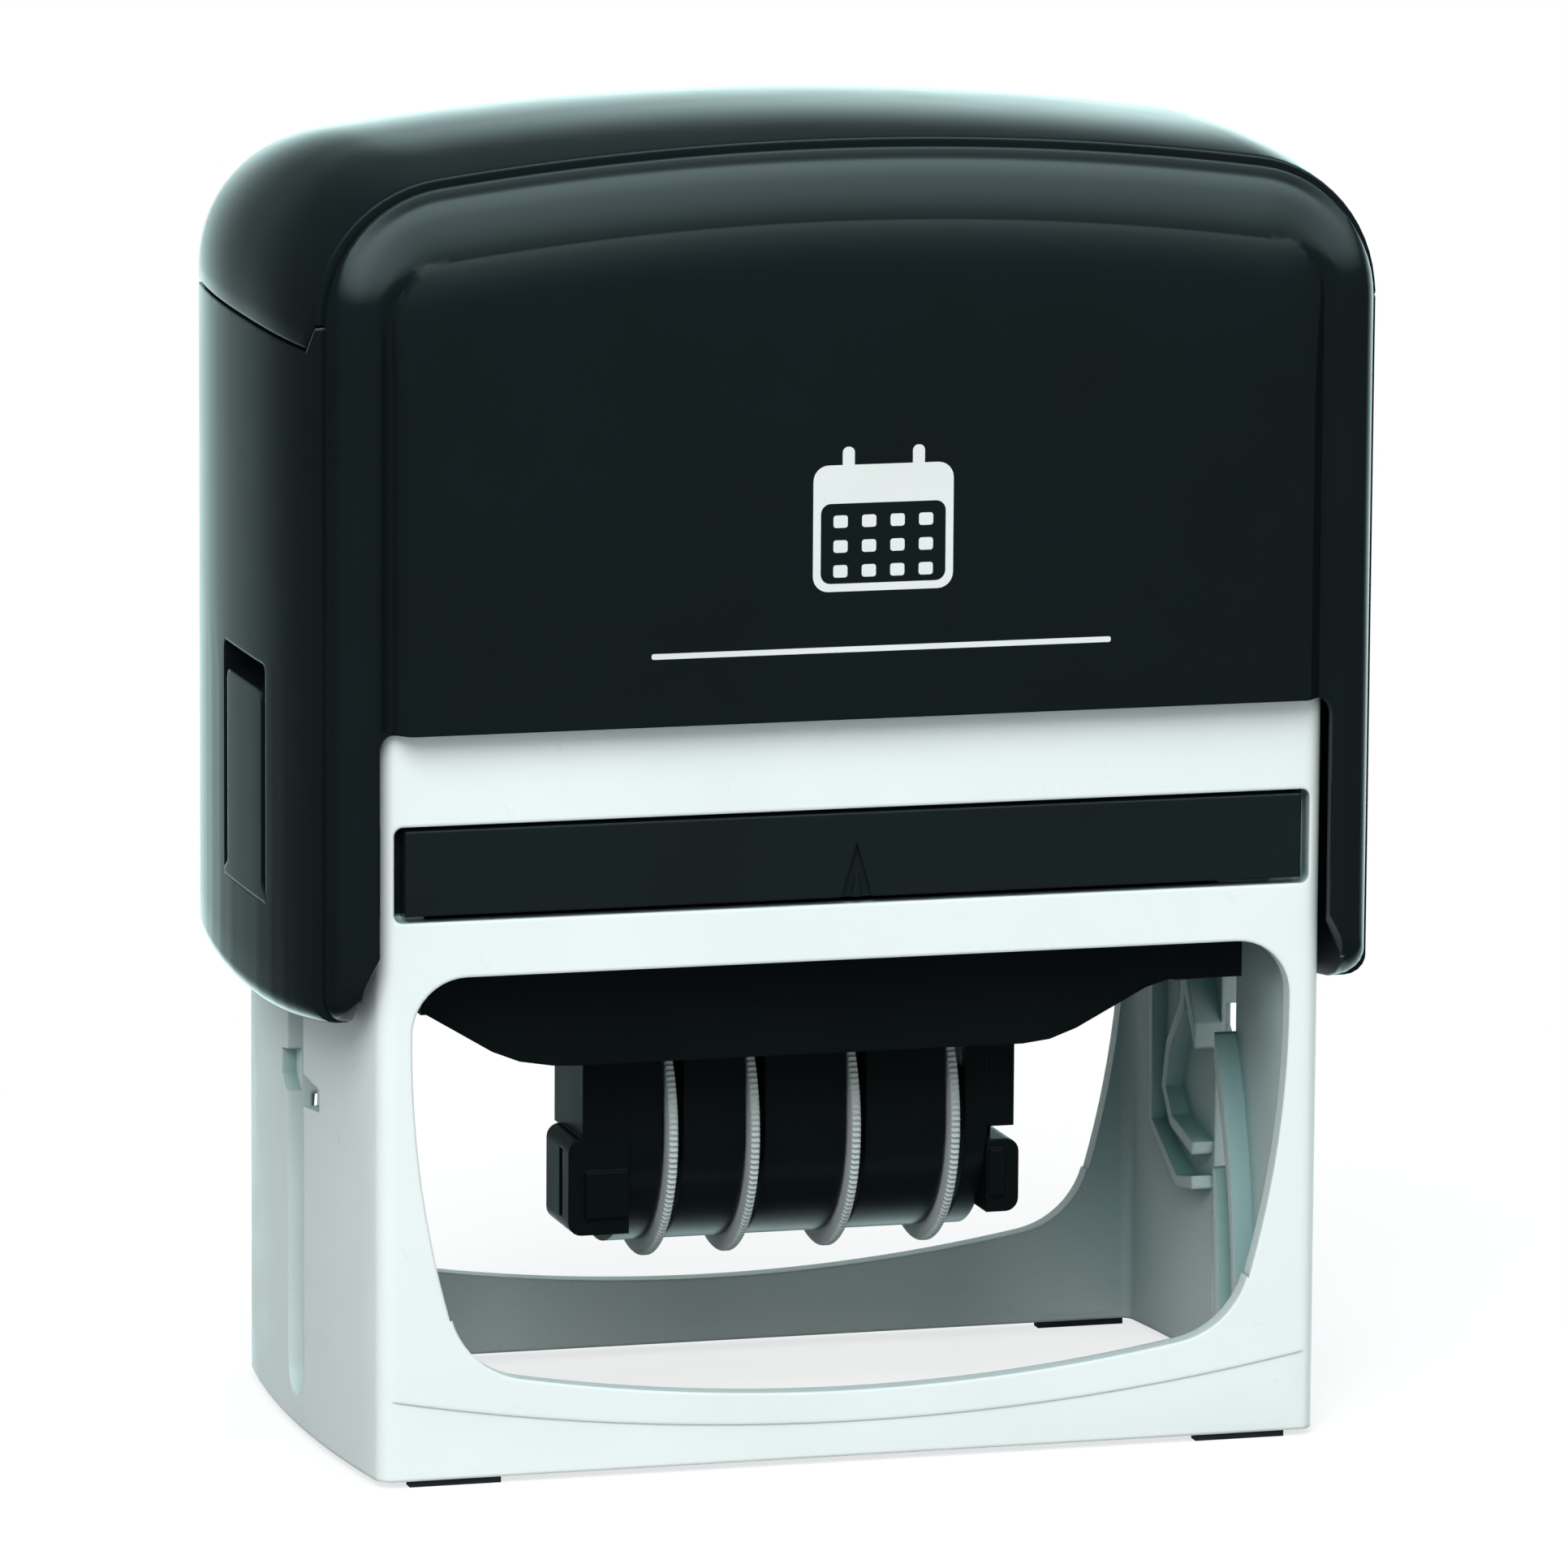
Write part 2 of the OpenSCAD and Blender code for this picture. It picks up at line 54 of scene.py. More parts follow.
PRESS = 37.0
PIVOT_Z = 43.0
AMBIENT = 0.6
REFLECTION_TINT = (0.74, 1.0, 1.0, 1)
scene = bpy.context.scene


# ---------- mesh helpers ----------

def mm_box(node):
    lo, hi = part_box(node)
    return lo / MM, hi / MM


def add_mesh(name, points, faces):
    """A closed mesh object from points in millimetres, with its normals outwards."""
    mesh = bpy.data.meshes.new(name)
    mesh.from_pydata([Vector(p) * MM for p in points], [], faces)
    bm = bmesh.new()
    bm.from_mesh(mesh)
    bmesh.ops.remove_doubles(bm, verts=bm.verts, dist=1e-7)
    bmesh.ops.recalc_face_normals(bm, faces=bm.faces)
    bm.to_mesh(mesh)
    bm.free()
    obj = bpy.data.objects.new(name, mesh)
    scene.collection.objects.link(obj)
    return obj


def bake(obj):
    """Applies the object's modifiers to its mesh."""
    bpy.context.view_layer.update()
    evaluated = obj.evaluated_get(bpy.context.evaluated_depsgraph_get())
    mesh = bpy.data.meshes.new_from_object(evaluated)
    obj.modifiers.clear()
    obj.data = mesh
    return obj


def combine(obj, others, operation):
    """Cuts the others from obj, or joins them to it, and removes them."""
    for other in others:
        modifier = obj.modifiers.new("combine", "BOOLEAN")
        modifier.operation = operation
        modifier.solver = "EXACT"
        modifier.object = other
        bake(obj)
        bpy.data.objects.remove(other)
    return obj


def cut(obj, *others):
    return combine(obj, others, "DIFFERENCE")


def join(obj, *others):
    return combine(obj, others, "UNION")


def smooth(obj, angle=35):
    """Smooth shading, with edges sharper than the angle kept crisp."""
    bm = bmesh.new()
    bm.from_mesh(obj.data)
    bmesh.ops.remove_doubles(bm, verts=bm.verts, dist=1e-6)
    for face in bm.faces:
        face.smooth = True
    for edge in bm.edges:
        edge.smooth = len(edge.link_faces) == 2 and edge.calc_face_angle(0) < math.radians(angle)
    bm.to_mesh(obj.data)
    bm.free()
    return obj


def bevel(obj, width, segments=3, angle=40):
    """Rounds the edges that are sharper than the angle."""
    modifier = obj.modifiers.new("round", "BEVEL")
    modifier.width = width * MM
    modifier.segments = segments
    modifier.limit_method = "ANGLE"
    modifier.angle_limit = math.radians(angle)
    return bake(obj)


def place(u, v, w, axis):
    """A profile point (u, v) at w along the axis."""
    return {"x": (w, u, v), "y": (u, w, v), "z": (u, v, w)}[axis]


def loft(name, loops, sheet=False):
    """A closed solid through loops of equally many points; the two ends of a sheet are rows of quads."""
    n = len(loops[0])
    points = [p for loop in loops for p in loop]
    end = len(points) - n
    if sheet:
        starts = [(s, k) for s in (0, end) for k in range(n // 2 - 1)]
        faces = [(s + k, s + k + 1, s + n - 2 - k, s + n - 1 - k) for s, k in starts]
    else:
        faces = [tuple(range(n)), tuple(range(end + n - 1, end - 1, -1))]
    for row in range(len(loops) - 1):
        a, b = row * n, (row + 1) * n
        faces += [(a + k, a + (k + 1) % n, b + (k + 1) % n, b + k) for k in range(n)]
    return add_mesh(name, points, faces)


def prism(name, outline, axis, start, end):
    return loft(name, [[place(u, v, w, axis) for u, v in outline] for w in (start, end)])


def box(name, x0, x1, y0, y1, z0, z1):
    return prism(name, [(x0, y0), (x1, y0), (x1, y1), (x0, y1)], "z", z0, z1)


def lathe(name, profile, axis_z, steps, tooth_depth):
    """Turns a closed profile of (x, radius, share of the tooth depth) about an axis along X."""
    n = len(profile)
    points, faces = [], []
    for k in range(steps):
        turn = 2 * math.pi * k / steps
        depth = tooth_depth if k % 2 else 0
        for x, radius, share in profile:
            r = radius - depth * share
            points.append((x, r * math.cos(turn), axis_z + r * math.sin(turn)))
        a, b = k * n, ((k + 1) % steps) * n
        faces += [(a + j, a + (j + 1) % n, b + (j + 1) % n, b + j) for j in range(n)]
    return add_mesh(name, points, faces)


def arc(cx, cy, r, start, end, steps):
    """Points of an arc, from start to end in degrees."""
    angles = [math.radians(start + (end - start) * i / steps) for i in range(steps + 1)]
    return [(cx + r * math.cos(a), cy + r * math.sin(a)) for a in angles]


def mirrored(half):
    """A right half outline, completed by its mirror image."""
    return half + [(-x, y) for x, y in reversed(half)]


def rounded(x0, x1, y0, y1, r, steps=6):
    return (arc(x1 - r, y0 + r, r, -90, 0, steps) + arc(x1 - r, y1 - r, r, 0, 90, steps)
            + arc(x0 + r, y1 - r, r, 90, 180, steps) + arc(x0 + r, y0 + r, r, 180, 270, steps))


def between(a, b, t):
    return a + (b - a) * t


def ease(t):
    t = min(1.0, max(0.0, t))
    return t * t * (3 - 2 * t)


# ---------- materials ----------

def new_material(name):
    material = bpy.data.materials.new(name)
    material.use_nodes = True
    nodes = material.node_tree.nodes
    return material, nodes, material.node_tree.links, nodes["Principled BSDF"]


def noise(nodes, links, scale, detail=4.0, stretch=(1, 1, 1)):
    """Noise in object space; scale is in features per metre."""
    coords = nodes.new("ShaderNodeTexCoord")
    mapping = nodes.new("ShaderNodeMapping")
    mapping.inputs["Scale"].default_value = stretch
    texture = nodes.new("ShaderNodeTexNoise")
    texture.inputs["Scale"].default_value = scale
    texture.inputs["Detail"].default_value = detail
    links.new(coords.outputs["Object"], mapping.inputs["Vector"])
    links.new(mapping.outputs["Vector"], texture.inputs["Vector"])
    return texture.outputs["Fac"]


def ramp(nodes, links, value, low, high, low_at=0.3, high_at=0.7):
    """Maps a noise value onto a range of colours or greys."""
    node = nodes.new("ShaderNodeValToRGB")
    node.color_ramp.elements[0].position = low_at
    node.color_ramp.elements[1].position = high_at
    node.color_ramp.elements[0].color = (*low, 1) if isinstance(low, tuple) else (low, low, low, 1)
    node.color_ramp.elements[1].color = (*high, 1) if isinstance(high, tuple) else (high, high, high, 1)
    links.new(value, node.inputs["Fac"])
    return node.outputs["Color"]


def bump(nodes, links, height, strength, distance, normal=None):
    node = nodes.new("ShaderNodeBump")
    node.inputs["Strength"].default_value = strength
    node.inputs["Distance"].default_value = distance * MM
    links.new(height, node.inputs["Height"])
    if normal is not None:
        links.new(normal, node.inputs["Normal"])
    return node.outputs["Normal"]


def round_edges(nodes, radius):
    node = nodes.new("ShaderNodeBevel")
    node.samples = 4
    node.inputs["Radius"].default_value = radius * MM
    return node.outputs["Normal"]


def plastic(name, colour, shade, roughness, grain, grain_scale, edge=0.3, gleam=0.5):
    """Moulded plastic: slight mottling, uneven gloss, fine surface grain and softened edges."""
    material, nodes, links, surface = new_material(name)
    links.new(ramp(nodes, links, noise(nodes, links, 60), shade, colour), surface.inputs["Base Color"])
    gloss = ramp(nodes, links, noise(nodes, links, 180, 6), roughness * 0.85, roughness * 1.2)
    links.new(gloss, surface.inputs["Roughness"])
    edges = round_edges(nodes, edge)
    fine = bump(nodes, links, noise(nodes, links, grain_scale, 3), grain, 0.02, edges)
    wave = bump(nodes, links, noise(nodes, links, 35, 1), 0.25, 0.05, fine)
    links.new(wave, surface.inputs["Normal"])
    surface.inputs["IOR"].default_value = 1.48
    surface.inputs["Specular IOR Level"].default_value = gleam
    return material


def shade_hollows(material, tint):
    """Paints shade into the deep, half-hidden parts of a pale plastic: where the part hides itself, its
    colour is darkened towards the tint.
    """
    reach = 110
    nodes, links = material.node_tree.nodes, material.node_tree.links
    colour = nodes["Principled BSDF"].inputs["Base Color"]
    plain = colour.links[0].from_socket
    # Painted shade: the part's own ambient occlusion picks out the hollows to be darkened.
    hollow = nodes.new("ShaderNodeAmbientOcclusion")
    hollow.samples = 6
    hollow.only_local = True
    hollow.inputs["Distance"].default_value = reach * MM
    mix = nodes.new("ShaderNodeMix")
    mix.data_type = "RGBA"
    links.new(ramp(nodes, links, hollow.outputs["AO"], 0.0, 1.0, 0.2, 0.85), mix.inputs["Factor"])
    mix.inputs["A"].default_value = (*tint, 1)
    links.new(plain, mix.inputs["B"])
    links.new(mix.outputs["Result"], colour)


def rubber(name, colour, shade, grain_scale=2500):
    material, nodes, links, surface = new_material(name)
    links.new(ramp(nodes, links, noise(nodes, links, 400), shade, colour), surface.inputs["Base Color"])
    links.new(ramp(nodes, links, noise(nodes, links, 900), 0.55, 0.75), surface.inputs["Roughness"])
    pores = bump(nodes, links, noise(nodes, links, grain_scale, 6), 0.5, 0.05, round_edges(nodes, 0.15))
    links.new(pores, surface.inputs["Normal"])
    return material


def steel(name, stretch):
    """Drawn or ground steel, with fine lines along the part."""
    material, nodes, links, surface = new_material(name)
    lines = noise(nodes, links, 1500, 4, stretch)
    links.new(ramp(nodes, links, lines, (0.42, 0.42, 0.43), (0.62, 0.62, 0.63)), surface.inputs["Base Color"])
    links.new(ramp(nodes, links, lines, 0.18, 0.34), surface.inputs["Roughness"])
    links.new(bump(nodes, links, lines, 0.3, 0.01), surface.inputs["Normal"])
    surface.inputs["Metallic"].default_value = 1.0
    return material


def felt(name, colour, shade):
    """Ink-soaked felt: matted fibres, wet in places."""
    material, nodes, links, surface = new_material(name)
    fibres = noise(nodes, links, 2200, 8, (1, 0.3, 1))
    links.new(ramp(nodes, links, fibres, shade, colour), surface.inputs["Base Color"])
    links.new(ramp(nodes, links, noise(nodes, links, 120), 0.35, 0.9), surface.inputs["Roughness"])
    links.new(bump(nodes, links, fibres, 0.9, 0.15), surface.inputs["Normal"])
    surface.inputs["Sheen Weight"].default_value = 0.3
    return material


CAP_BLACK = plastic("cap_black", (0.0052, 0.0088, 0.0102), (0.0044, 0.0074, 0.0086), 0.12, 0.05, 3000)
TRAY_BLACK = plastic("tray_black", (0.0078, 0.0125, 0.014), (0.0062, 0.010, 0.0115), 0.24, 0.12, 4000)
CARRIER_BLACK = plastic("carrier_black", (0.0035, 0.0052, 0.006), (0.0025, 0.004, 0.0045), 0.3, 0.2, 4500,
                        gleam=0.25)
BASE_WHITE = plastic("base_white", (0.84, 0.86, 0.855), (0.80, 0.825, 0.82), 0.32, 0.08, 3000, edge=0.45)
# Painted shade: the base's inner walls and hollows are darkened to a teal grey, as if in shadow.
shade_hollows(BASE_WHITE, (0.16, 0.32, 0.32))
WHEEL_GREY = plastic("wheel_grey", (0.52, 0.545, 0.54), (0.44, 0.465, 0.46), 0.42, 0.2, 5000, edge=0.12)
PRINT_WHITE = plastic("print_white", (0.78, 0.78, 0.77), (0.7, 0.7, 0.69), 0.45, 0.3, 6000, edge=0.02)
FOOT_RUBBER = rubber("foot_rubber", (0.016, 0.016, 0.016), (0.010, 0.010, 0.010))
DIE_RUBBER = rubber("die_rubber", (0.23, 0.035, 0.028), (0.15, 0.022, 0.02))
BAND_RUBBER = rubber("band_rubber", (0.028, 0.026, 0.026), (0.018, 0.017, 0.017))
PAD_FELT = felt("pad_felt", (0.03, 0.035, 0.13), (0.012, 0.014, 0.06))
PIN_STEEL = steel("pin_steel", (1, 8, 8))
SPRING_STEEL = steel("spring_steel", (1, 1, 6))


def finish_piece(obj, material, slot, body, *nodes):
    """Gives a piece its material, makes it ride on its body and stand for its CAD nodes; the slot is not
    used.
    """
    obj.data.materials.clear()
    obj.data.materials.append(material)
    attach(obj, body)
    if nodes:
        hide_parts(*nodes)
    return obj


def dress_node(name, material):
    """A CAD node that is shown as it is, with a finished material."""
    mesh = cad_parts[name].data
    mesh.materials.clear()
    mesh.materials.append(material)


# ---------- cap: one skin swept over legs and crown ----------

cap_lo, cap_hi = mm_box("cap_housing")
cover_lo, cover_hi = mm_box("top_cover")
base_lo, base_hi = mm_box("base_frame")
base_bulge = 1.7
panel_y = cap_hi.y
rim_y = panel_y - 1.0
swell = 1.8
cap_hw = cap_hi.x - swell - 0.2
crown_z = cover_hi.z - swell - 0.3
leg_z = cap_lo.z
panel_z = 67.5
cover_z = cover_lo.z
tab_low = mm_box("lock_tab_left")[0].z
tab_top = 68.6
tab_gap_hw = 8.0
corner_r = 12.0
arch_r = 270.0
seam_y = 22.2


def cap_path(start_z):
    """Points of the front edge from the right leg to the crown's middle: (x, z, normal x, normal z)."""
    arch_z = crown_z - arch_r
    cx = cap_hw - corner_r
    cz = arch_z + math.sqrt((arch_r - corner_r) ** 2 - cx ** 2)
    turn = 90 - math.degrees(math.asin(cx / (arch_r - corner_r)))
    straight = [z for z in (42, 45, 49, 54, 60, 68, 76, 84, 92, 97, 100) if z > start_z]
    path = [(cap_hw, z, 1.0, 0.0) for z in [start_z] + straight if z < cz - 0.5]
    for x, z in arc(0, 0, 1, 0, turn, 14):
        path.append((cx + corner_r * x, cz + corner_r * z, x, z))
    for x, z in arc(0, 0, 1, turn, 90, 18)[1:]:
        path.append((arch_r * x, arch_z + arch_r * z, x, z))
    return path


def full_path(start_z):
    half = cap_path(start_z)
    return half + [(-x, z, -nx, nz) for x, z, nx, nz in reversed(half[:-1])]


def back_drop(y, nz):
    """How much lower than at the front the crown is at depth y; nz is the upward part of the normal."""
    return 0.6 * nz * nz * (max(0.0, y) / 23) ** 2


def parting(y):
    """Height of the parting line on the sides: nearly level, and turned up where it meets the front rim."""
    slope, turn_y, turn_slope = 0.02, -20.0, 2.4 / 2.2
    return slope * (y - turn_y) + turn_slope * max(0.0, turn_y - y)


def skin(y):
    """How far the skin stands out of the front edge line at depth y: flat in the middle, then rounder."""
    return swell * (1 - abs(y / rim_y) ** 2.6)


def rim_profile(top):
    """Profile (outward offset, depth) across the skin and both rims; top is 0 at a leg and 1 at the crown."""
    half = [(skin(y), y) for y in (0, 5, 10, 14, 17, 19.5, 21, 21.9, seam_y)]
    half += [(-0.25, seam_y + 0.08), (-0.25, seam_y + 0.35)]
    side = [(-0.06, seam_y + 0.42)] + arc(-3.4, rim_y - 3.4, 3.4, 8, 90, 8)
    side += [(-3.7, rim_y), (-4.0, rim_y - 0.03), (-4.4, rim_y - 0.25), (-4.8, rim_y - 0.55)]
    side += [(-5.3, rim_y - 0.68), (-8.0, rim_y - 0.7)]
    crown = [(-0.05, 22.62), (-0.02, 22.85), (-0.12, 23.1), (-0.75, 23.35), (-1.02, 23.4), (-1.15, 23.47)]
    crown += [(-1.32, 23.65), (-1.7, 24.0), (-2.4, 24.38), (-3.2, 24.76), (-4.0, 25.1), (-4.8, 25.4)]
    crown += [(-5.5, 25.62), (-6.05, 25.76), (-6.25, 25.55), (-8.0, 25.5)]
    half += [(between(a[0], b[0], top), between(a[1], b[1], top)) for a, b in zip(side, crown, strict=True)]
    return [(n, -y) for n, y in reversed(half)] + half[1:]


def cap_shell():
    """Skin swept over both legs and the crown, closed by strips from side to side."""
    foot_r = 2.0
    rings = []
    for a in (90, 70, 50, 30, 12):
        turn = math.radians(a)
        rings.append((cap_hw, leg_z + foot_r * (1 - math.sin(turn)), 1.0, 0.0, foot_r * (1 - math.cos(turn))))
    rings += [(x, z, nx, nz, 0.0) for x, z, nx, nz in cap_path(leg_z + foot_r)]
    loops = []
    for x, z, nx, nz, inset in rings:
        loop = []
        for offset, y in rim_profile(ease((nz - 0.15) / 0.8)):
            out = offset - inset
            depth = math.copysign(min(abs(y), rim_y - 0.5 * inset), y)
            loop.append((x + nx * out, depth, z + nz * out - back_drop(y, nz)))
        loops.append(loop)
    n = len(loops[0])
    mid = len(loops) - 1
    loops += [[(-x, y, z) for x, y, z in loop] for loop in reversed(loops[:-1])]
    points = [p for loop in loops for p in loop]
    faces = []
    last = len(loops) - 1
    for row in range(last):
        a, b = row * n, (row + 1) * n
        faces += [(a + k, a + k + 1, b + k + 1, b + k) for k in range(n - 1)]
    for row in range(mid):
        for k in (0, n - 1):
            strip = [row * n + k, (row + 1) * n + k, (last - row - 1) * n + k, (last - row) * n + k]
            faces.append(strip[:2] + strip[3:] if row == mid - 1 else strip)
    faces.append(list(range(n)) + [last * n + k for k in range(n - 1, -1, -1)])
    return add_mesh("cap_housing_shell", points, faces)


def patch(name, y_half, z_start, z_end, out, depth):
    """A thick patch of the cap's skin: both legs and crown if z_end is None, else the right side only."""
    steps = 20
    if z_end is None:
        rings = full_path(z_start)
    else:
        rings = [(cap_hw, between(z_start, z_end, t / steps), 1.0, 0.0) for t in range(steps + 1)]
    ys = [between(-y_half, y_half, t / (2 * steps)) for t in range(2 * steps + 1)]
    loops = []
    for i, (x, z, nx, nz) in enumerate(rings):
        edge = z_end is None and i in (0, len(rings) - 1)
        level = [z - back_drop(y, nz) + (parting(y) if edge else 0) for y in ys]
        top = [(x + nx * (skin(y) + out), y, v + nz * (skin(y) + out)) for y, v in zip(ys, level)]
        under = [(x + nx * (skin(y) - depth), y, v + nz * (skin(y) - depth)) for y, v in zip(ys, level)]
        loops.append(top + under[::-1])
    return loft(name, loops, sheet=True)


def panel_outline(hw, top_z):
    """Arched panel outline, from the right lower corner round to the left one."""
    panel_arch, r = 264.0, 4.8
    turn = 90 - math.degrees(math.asin((hw - r) / (panel_arch - r)))
    centre_z = top_z - panel_arch
    cz = centre_z + math.sqrt((panel_arch - r) ** 2 - (hw - r) ** 2)
    side = [(hw, between(panel_z - 6, cz, t / 10)) for t in range(10)]
    corner = arc(hw - r, cz, r, 0, turn, 8)
    arch = arc(0, centre_z, panel_arch, turn, 90, 16)[1:]
    half = side + corner + arch[:-1]
    return half + arch[-1:] + [(-x, z) for x, z in reversed(half)]


def panel_pad(side):
    """The raised front (side -1) or back (side 1) panel; each station is (inwards, down, depth)."""
    pad_hw, pad_top = 42.5, 111.8
    loops = []
    stations = [(0.0, 0.1, -2.4), (0.0, 0.2, -1.75), (0.08, 0.5, -1.62), (0.3, 1.3, -1.35), (0.6, 2.6, -1.0)]
    stations += [(0.9, 4.4, -0.62), (1.2, 6.8, -0.28), (1.45, 9.6, -0.07), (1.6, 12.5, 0.0)]
    for inward, down, y in stations:
        outline = panel_outline(pad_hw - inward, pad_top - down)
        loops.append([(x, side * (panel_y + y), z) for x, z in outline])
    return loft("panel", loops)


def bend_legs(obj):
    """Gives the leg bottoms their convex lower edge, seen from the side."""
    bent_height, pitch = 20, 2.1
    bm = bmesh.new()
    bm.from_mesh(obj.data)
    for step in range(-12, 13):
        low = [f for f in bm.faces if min(v.co.z for v in f.verts) < 62 * MM]
        geom = low + list({e for f in low for e in f.edges}) + list({v for f in low for v in f.verts})
        bmesh.ops.bisect_plane(bm, geom=geom, plane_co=(0, step * pitch * MM, 0), plane_no=(0, 1, 0))
    for v in bm.verts:
        y = abs(v.co.y / MM) / rim_y
        lift = 2.0 * y ** 2 + 3.0 * max(0.0, (y - 0.8) / 0.2) ** 2
        v.co.z += lift * MM * max(0.0, 1 - (v.co.z / MM - leg_z) / bent_height) ** 1.5
    bm.to_mesh(obj.data)
    bm.free()
    return obj


def cap_room():
    """The hollow of the cap: a lower room, a higher one away from the rims, and the doorways for the base."""
    gap, ceiling, shoulder, door_r = 0.4, 113.5, 110, 1.5
    hw = base_hi.x + gap
    inner = base_hi.y + 0.3
    cavity = prism("cavity", mirrored([(hw, 0)] + arc(hw - 9, 96, 9, 0, 90, 8)), "y", -inner, inner)
    wall = [(hw, 90)] + arc(hw - 1, shoulder - 1, 1, 0, 90, 4)
    vault = [(33.5, shoulder), (30, ceiling - 0.5), (26, ceiling)]
    dome = prism("dome", mirrored(wall + vault), "y", -21, 21)
    edge = base_hi.x - base_bulge + gap
    foot = [(edge + 1.4, -2), (edge + 1.4, leg_z + 0.6), (edge, leg_z + 4.6)]
    lintel = arc(edge - door_r, panel_z - door_r, door_r, 0, 90, 6)
    doorway = prism("doorway", mirrored(foot + lintel), "y", -60, 60)
    return cavity, dome, doorway


def build_cap():
    shell = cap_shell()
    join(shell, panel_pad(-1), panel_pad(1))
    cut(shell, *cap_room())
    tab_gap = rounded(-tab_gap_hw, tab_gap_hw, tab_low, tab_top + 2.5, 0.9)
    for side in (-1, 1):
        cut(shell, prism("tab_gap", tab_gap, "x", side * 30, side * 60))
    zone = patch("cover_zone", seam_y + 0.08, cover_z - 0.3, None, 1.5, 1.7)
    cut(shell, zone)
    bend_legs(shell)
    smooth(shell, 32)
    finish_piece(shell, CAP_BLACK, "cap_black", "cap", "cap_housing")
    cover = patch("top_cover_shell", seam_y - 0.05, cover_z + 0.05, None, 0.0, 1.6)
    bevel(cover, 0.12, 2)
    smooth(cover, 32)
    finish_piece(cover, CAP_BLACK, "cap_black", "cap", "top_cover")


def build_lock_tab(side):
    """A tongue in the cap's skin, wider at its foot."""
    name = "lock_tab_right" if side > 0 else "lock_tab_left"
    foot_hw, hw, r = tab_gap_hw - 0.06, 6.5, 1.0
    tab = patch(name + "_tongue", tab_gap_hw, tab_low + 0.03, tab_top, 0.0, 2.6)
    foot = [(foot_hw, tab_low), (foot_hw, tab_low + 0.6), (hw, tab_low + 1.4)]
    keep = prism("keep", mirrored(foot + arc(hw - r, tab_top - r, r, 0, 90, 5)), "x", 30, 60)
    combine(tab, [keep], "INTERSECT")
    for v in tab.data.vertices:
        v.co.x *= side
    if side < 0:
        tab.data.flip_normals()
    smooth(tab, 32)
    finish_piece(tab, CAP_BLACK, "cap_black", name, name)


# ---------- base frame ----------

def plan_outline(hw, hd, r):
    """Rounded rectangle whose two sides swell at mid-depth."""
    steps = 16
    right = arc(hw - r, r - hd, r, -90, 0, 6)
    right += [(hw, between(r - hd, hd - r, t / steps)) for t in range(1, steps)]
    right += arc(hw - r, hd - r, r, 0, 90, 6)
    right = [(x * (1 + base_bulge / hw * (1 - (y / hd) ** 2)), y) for x, y in right]
    return right + [(-x, -y) for x, y in right]


def window_outline():
    """Window, right half: sagging sill, round corner, curved jamb, round top corner."""
    sill_z, sill_r, sill_end, window_top, hw = 6.6, 173.0, 30.5, 45.6, 40.4
    corner, jamb_r, jamb_lean, top_r = 8, 90, 16, 5
    lean = math.asin(sill_end / sill_r)
    cx = (sill_r - corner) * math.sin(lean)
    cz = sill_z + sill_r - (sill_r - corner) * math.cos(lean)
    sill_turn = math.degrees(lean) - 90
    half = arc(0, sill_z + sill_r, sill_r, -90, sill_turn, 14)[1:]
    half += arc(cx, cz, corner, sill_turn, -jamb_lean, 10)
    half += arc(hw - jamb_r, window_top - 6, jamb_r, -jamb_lean, 0, 12)
    half += arc(hw - top_r, window_top - top_r, top_r, 0, 90, 10)
    return [(0, sill_z)] + half + [(-x, z) for x, z in reversed(half)]


def peg_path(radius, start, end, steps):
    """Where the cam peg runs in the base's side wall, as (y, z)."""
    path = []
    for i in range(steps + 1):
        t = between(start, end, i / steps)
        path.append((radius * math.cos(math.pi * t), PIVOT_Z - PRESS * t + radius * math.sin(math.pi * t)))
    return path


def ribbon(path, half):
    """Outline of a band of half-width `half` along a path."""
    left, right = [], []
    for i, (y, z) in enumerate(path):
        y0, z0 = path[max(0, i - 1)]
        y1, z1 = path[min(len(path) - 1, i + 1)]
        length = math.hypot(y1 - y0, z1 - z0)
        ny, nz = -(z1 - z0) / length, (y1 - y0) / length
        left.append((y + ny * half, z + nz * half))
        right.append((y - ny * half, z - nz * half))
    return left + right[::-1]


# Outlines on the side walls, as (y, z): two ridges inside and two notches outside.
CAM_OUTER = [(4.0, 38.5), (16.2, 36.5), (16.0, 21.0), (8.0, 16.8), (3.2, 17.6)]
CAM_INNER = [(6.4, 36.0), (6.8, 33.5), (10.8, 29.0), (12.0, 25.0), (9.6, 22.2), (3.2, 20.8)]
NOTCH_BACK = [(2.5, 34.4), (5.3, 34.0), (5.3, 31.8), (4.0, 30.7), (2.5, 30.4)]
NOTCH_FRONT = [(-2.5, 33.2), (-8.2, 32.7), (-8.2, 30.7), (-2.5, 30.2)]


def cut_side_wall(base, side, hw, hd):
    """Adds the cam track and the tray rail inside a side wall, and cuts the groove, slot and notches."""
    inside = side * (hw - 2.6)
    rim = prism("rim", ribbon(peg_path(7, 0, 1, 24), 3.2), "x", inside, side * hw)
    combine(rim, [box("trim", side * 60, side * 20, -40, 40, 3.5, 49.9)], "INTERSECT")
    rail = box("rail", side * 38.9, side * (hw - 1), -hd + 1.8, hd - 1.8, 49.9, 51.0)
    join(base, rim, rail)
    groove = prism("groove", ribbon(peg_path(7, -0.04, 1.04, 26), 1.9), "x", side * 30, side * hw)
    slot = prism("slot", rounded(-2.9, 2.9, 3.1, 45.9, 2.85), "x", side * 30, side * 60)
    for path in (CAM_OUTER, CAM_INNER):
        join(base, prism("ridge", ribbon(path, 0.6), "x", inside, side * hw))
    cut(base, groove, slot)
    for outline in (NOTCH_BACK, NOTCH_FRONT):
        cut(base, prism("notch", outline, "x", side * (hw + 0.4), side * 60))


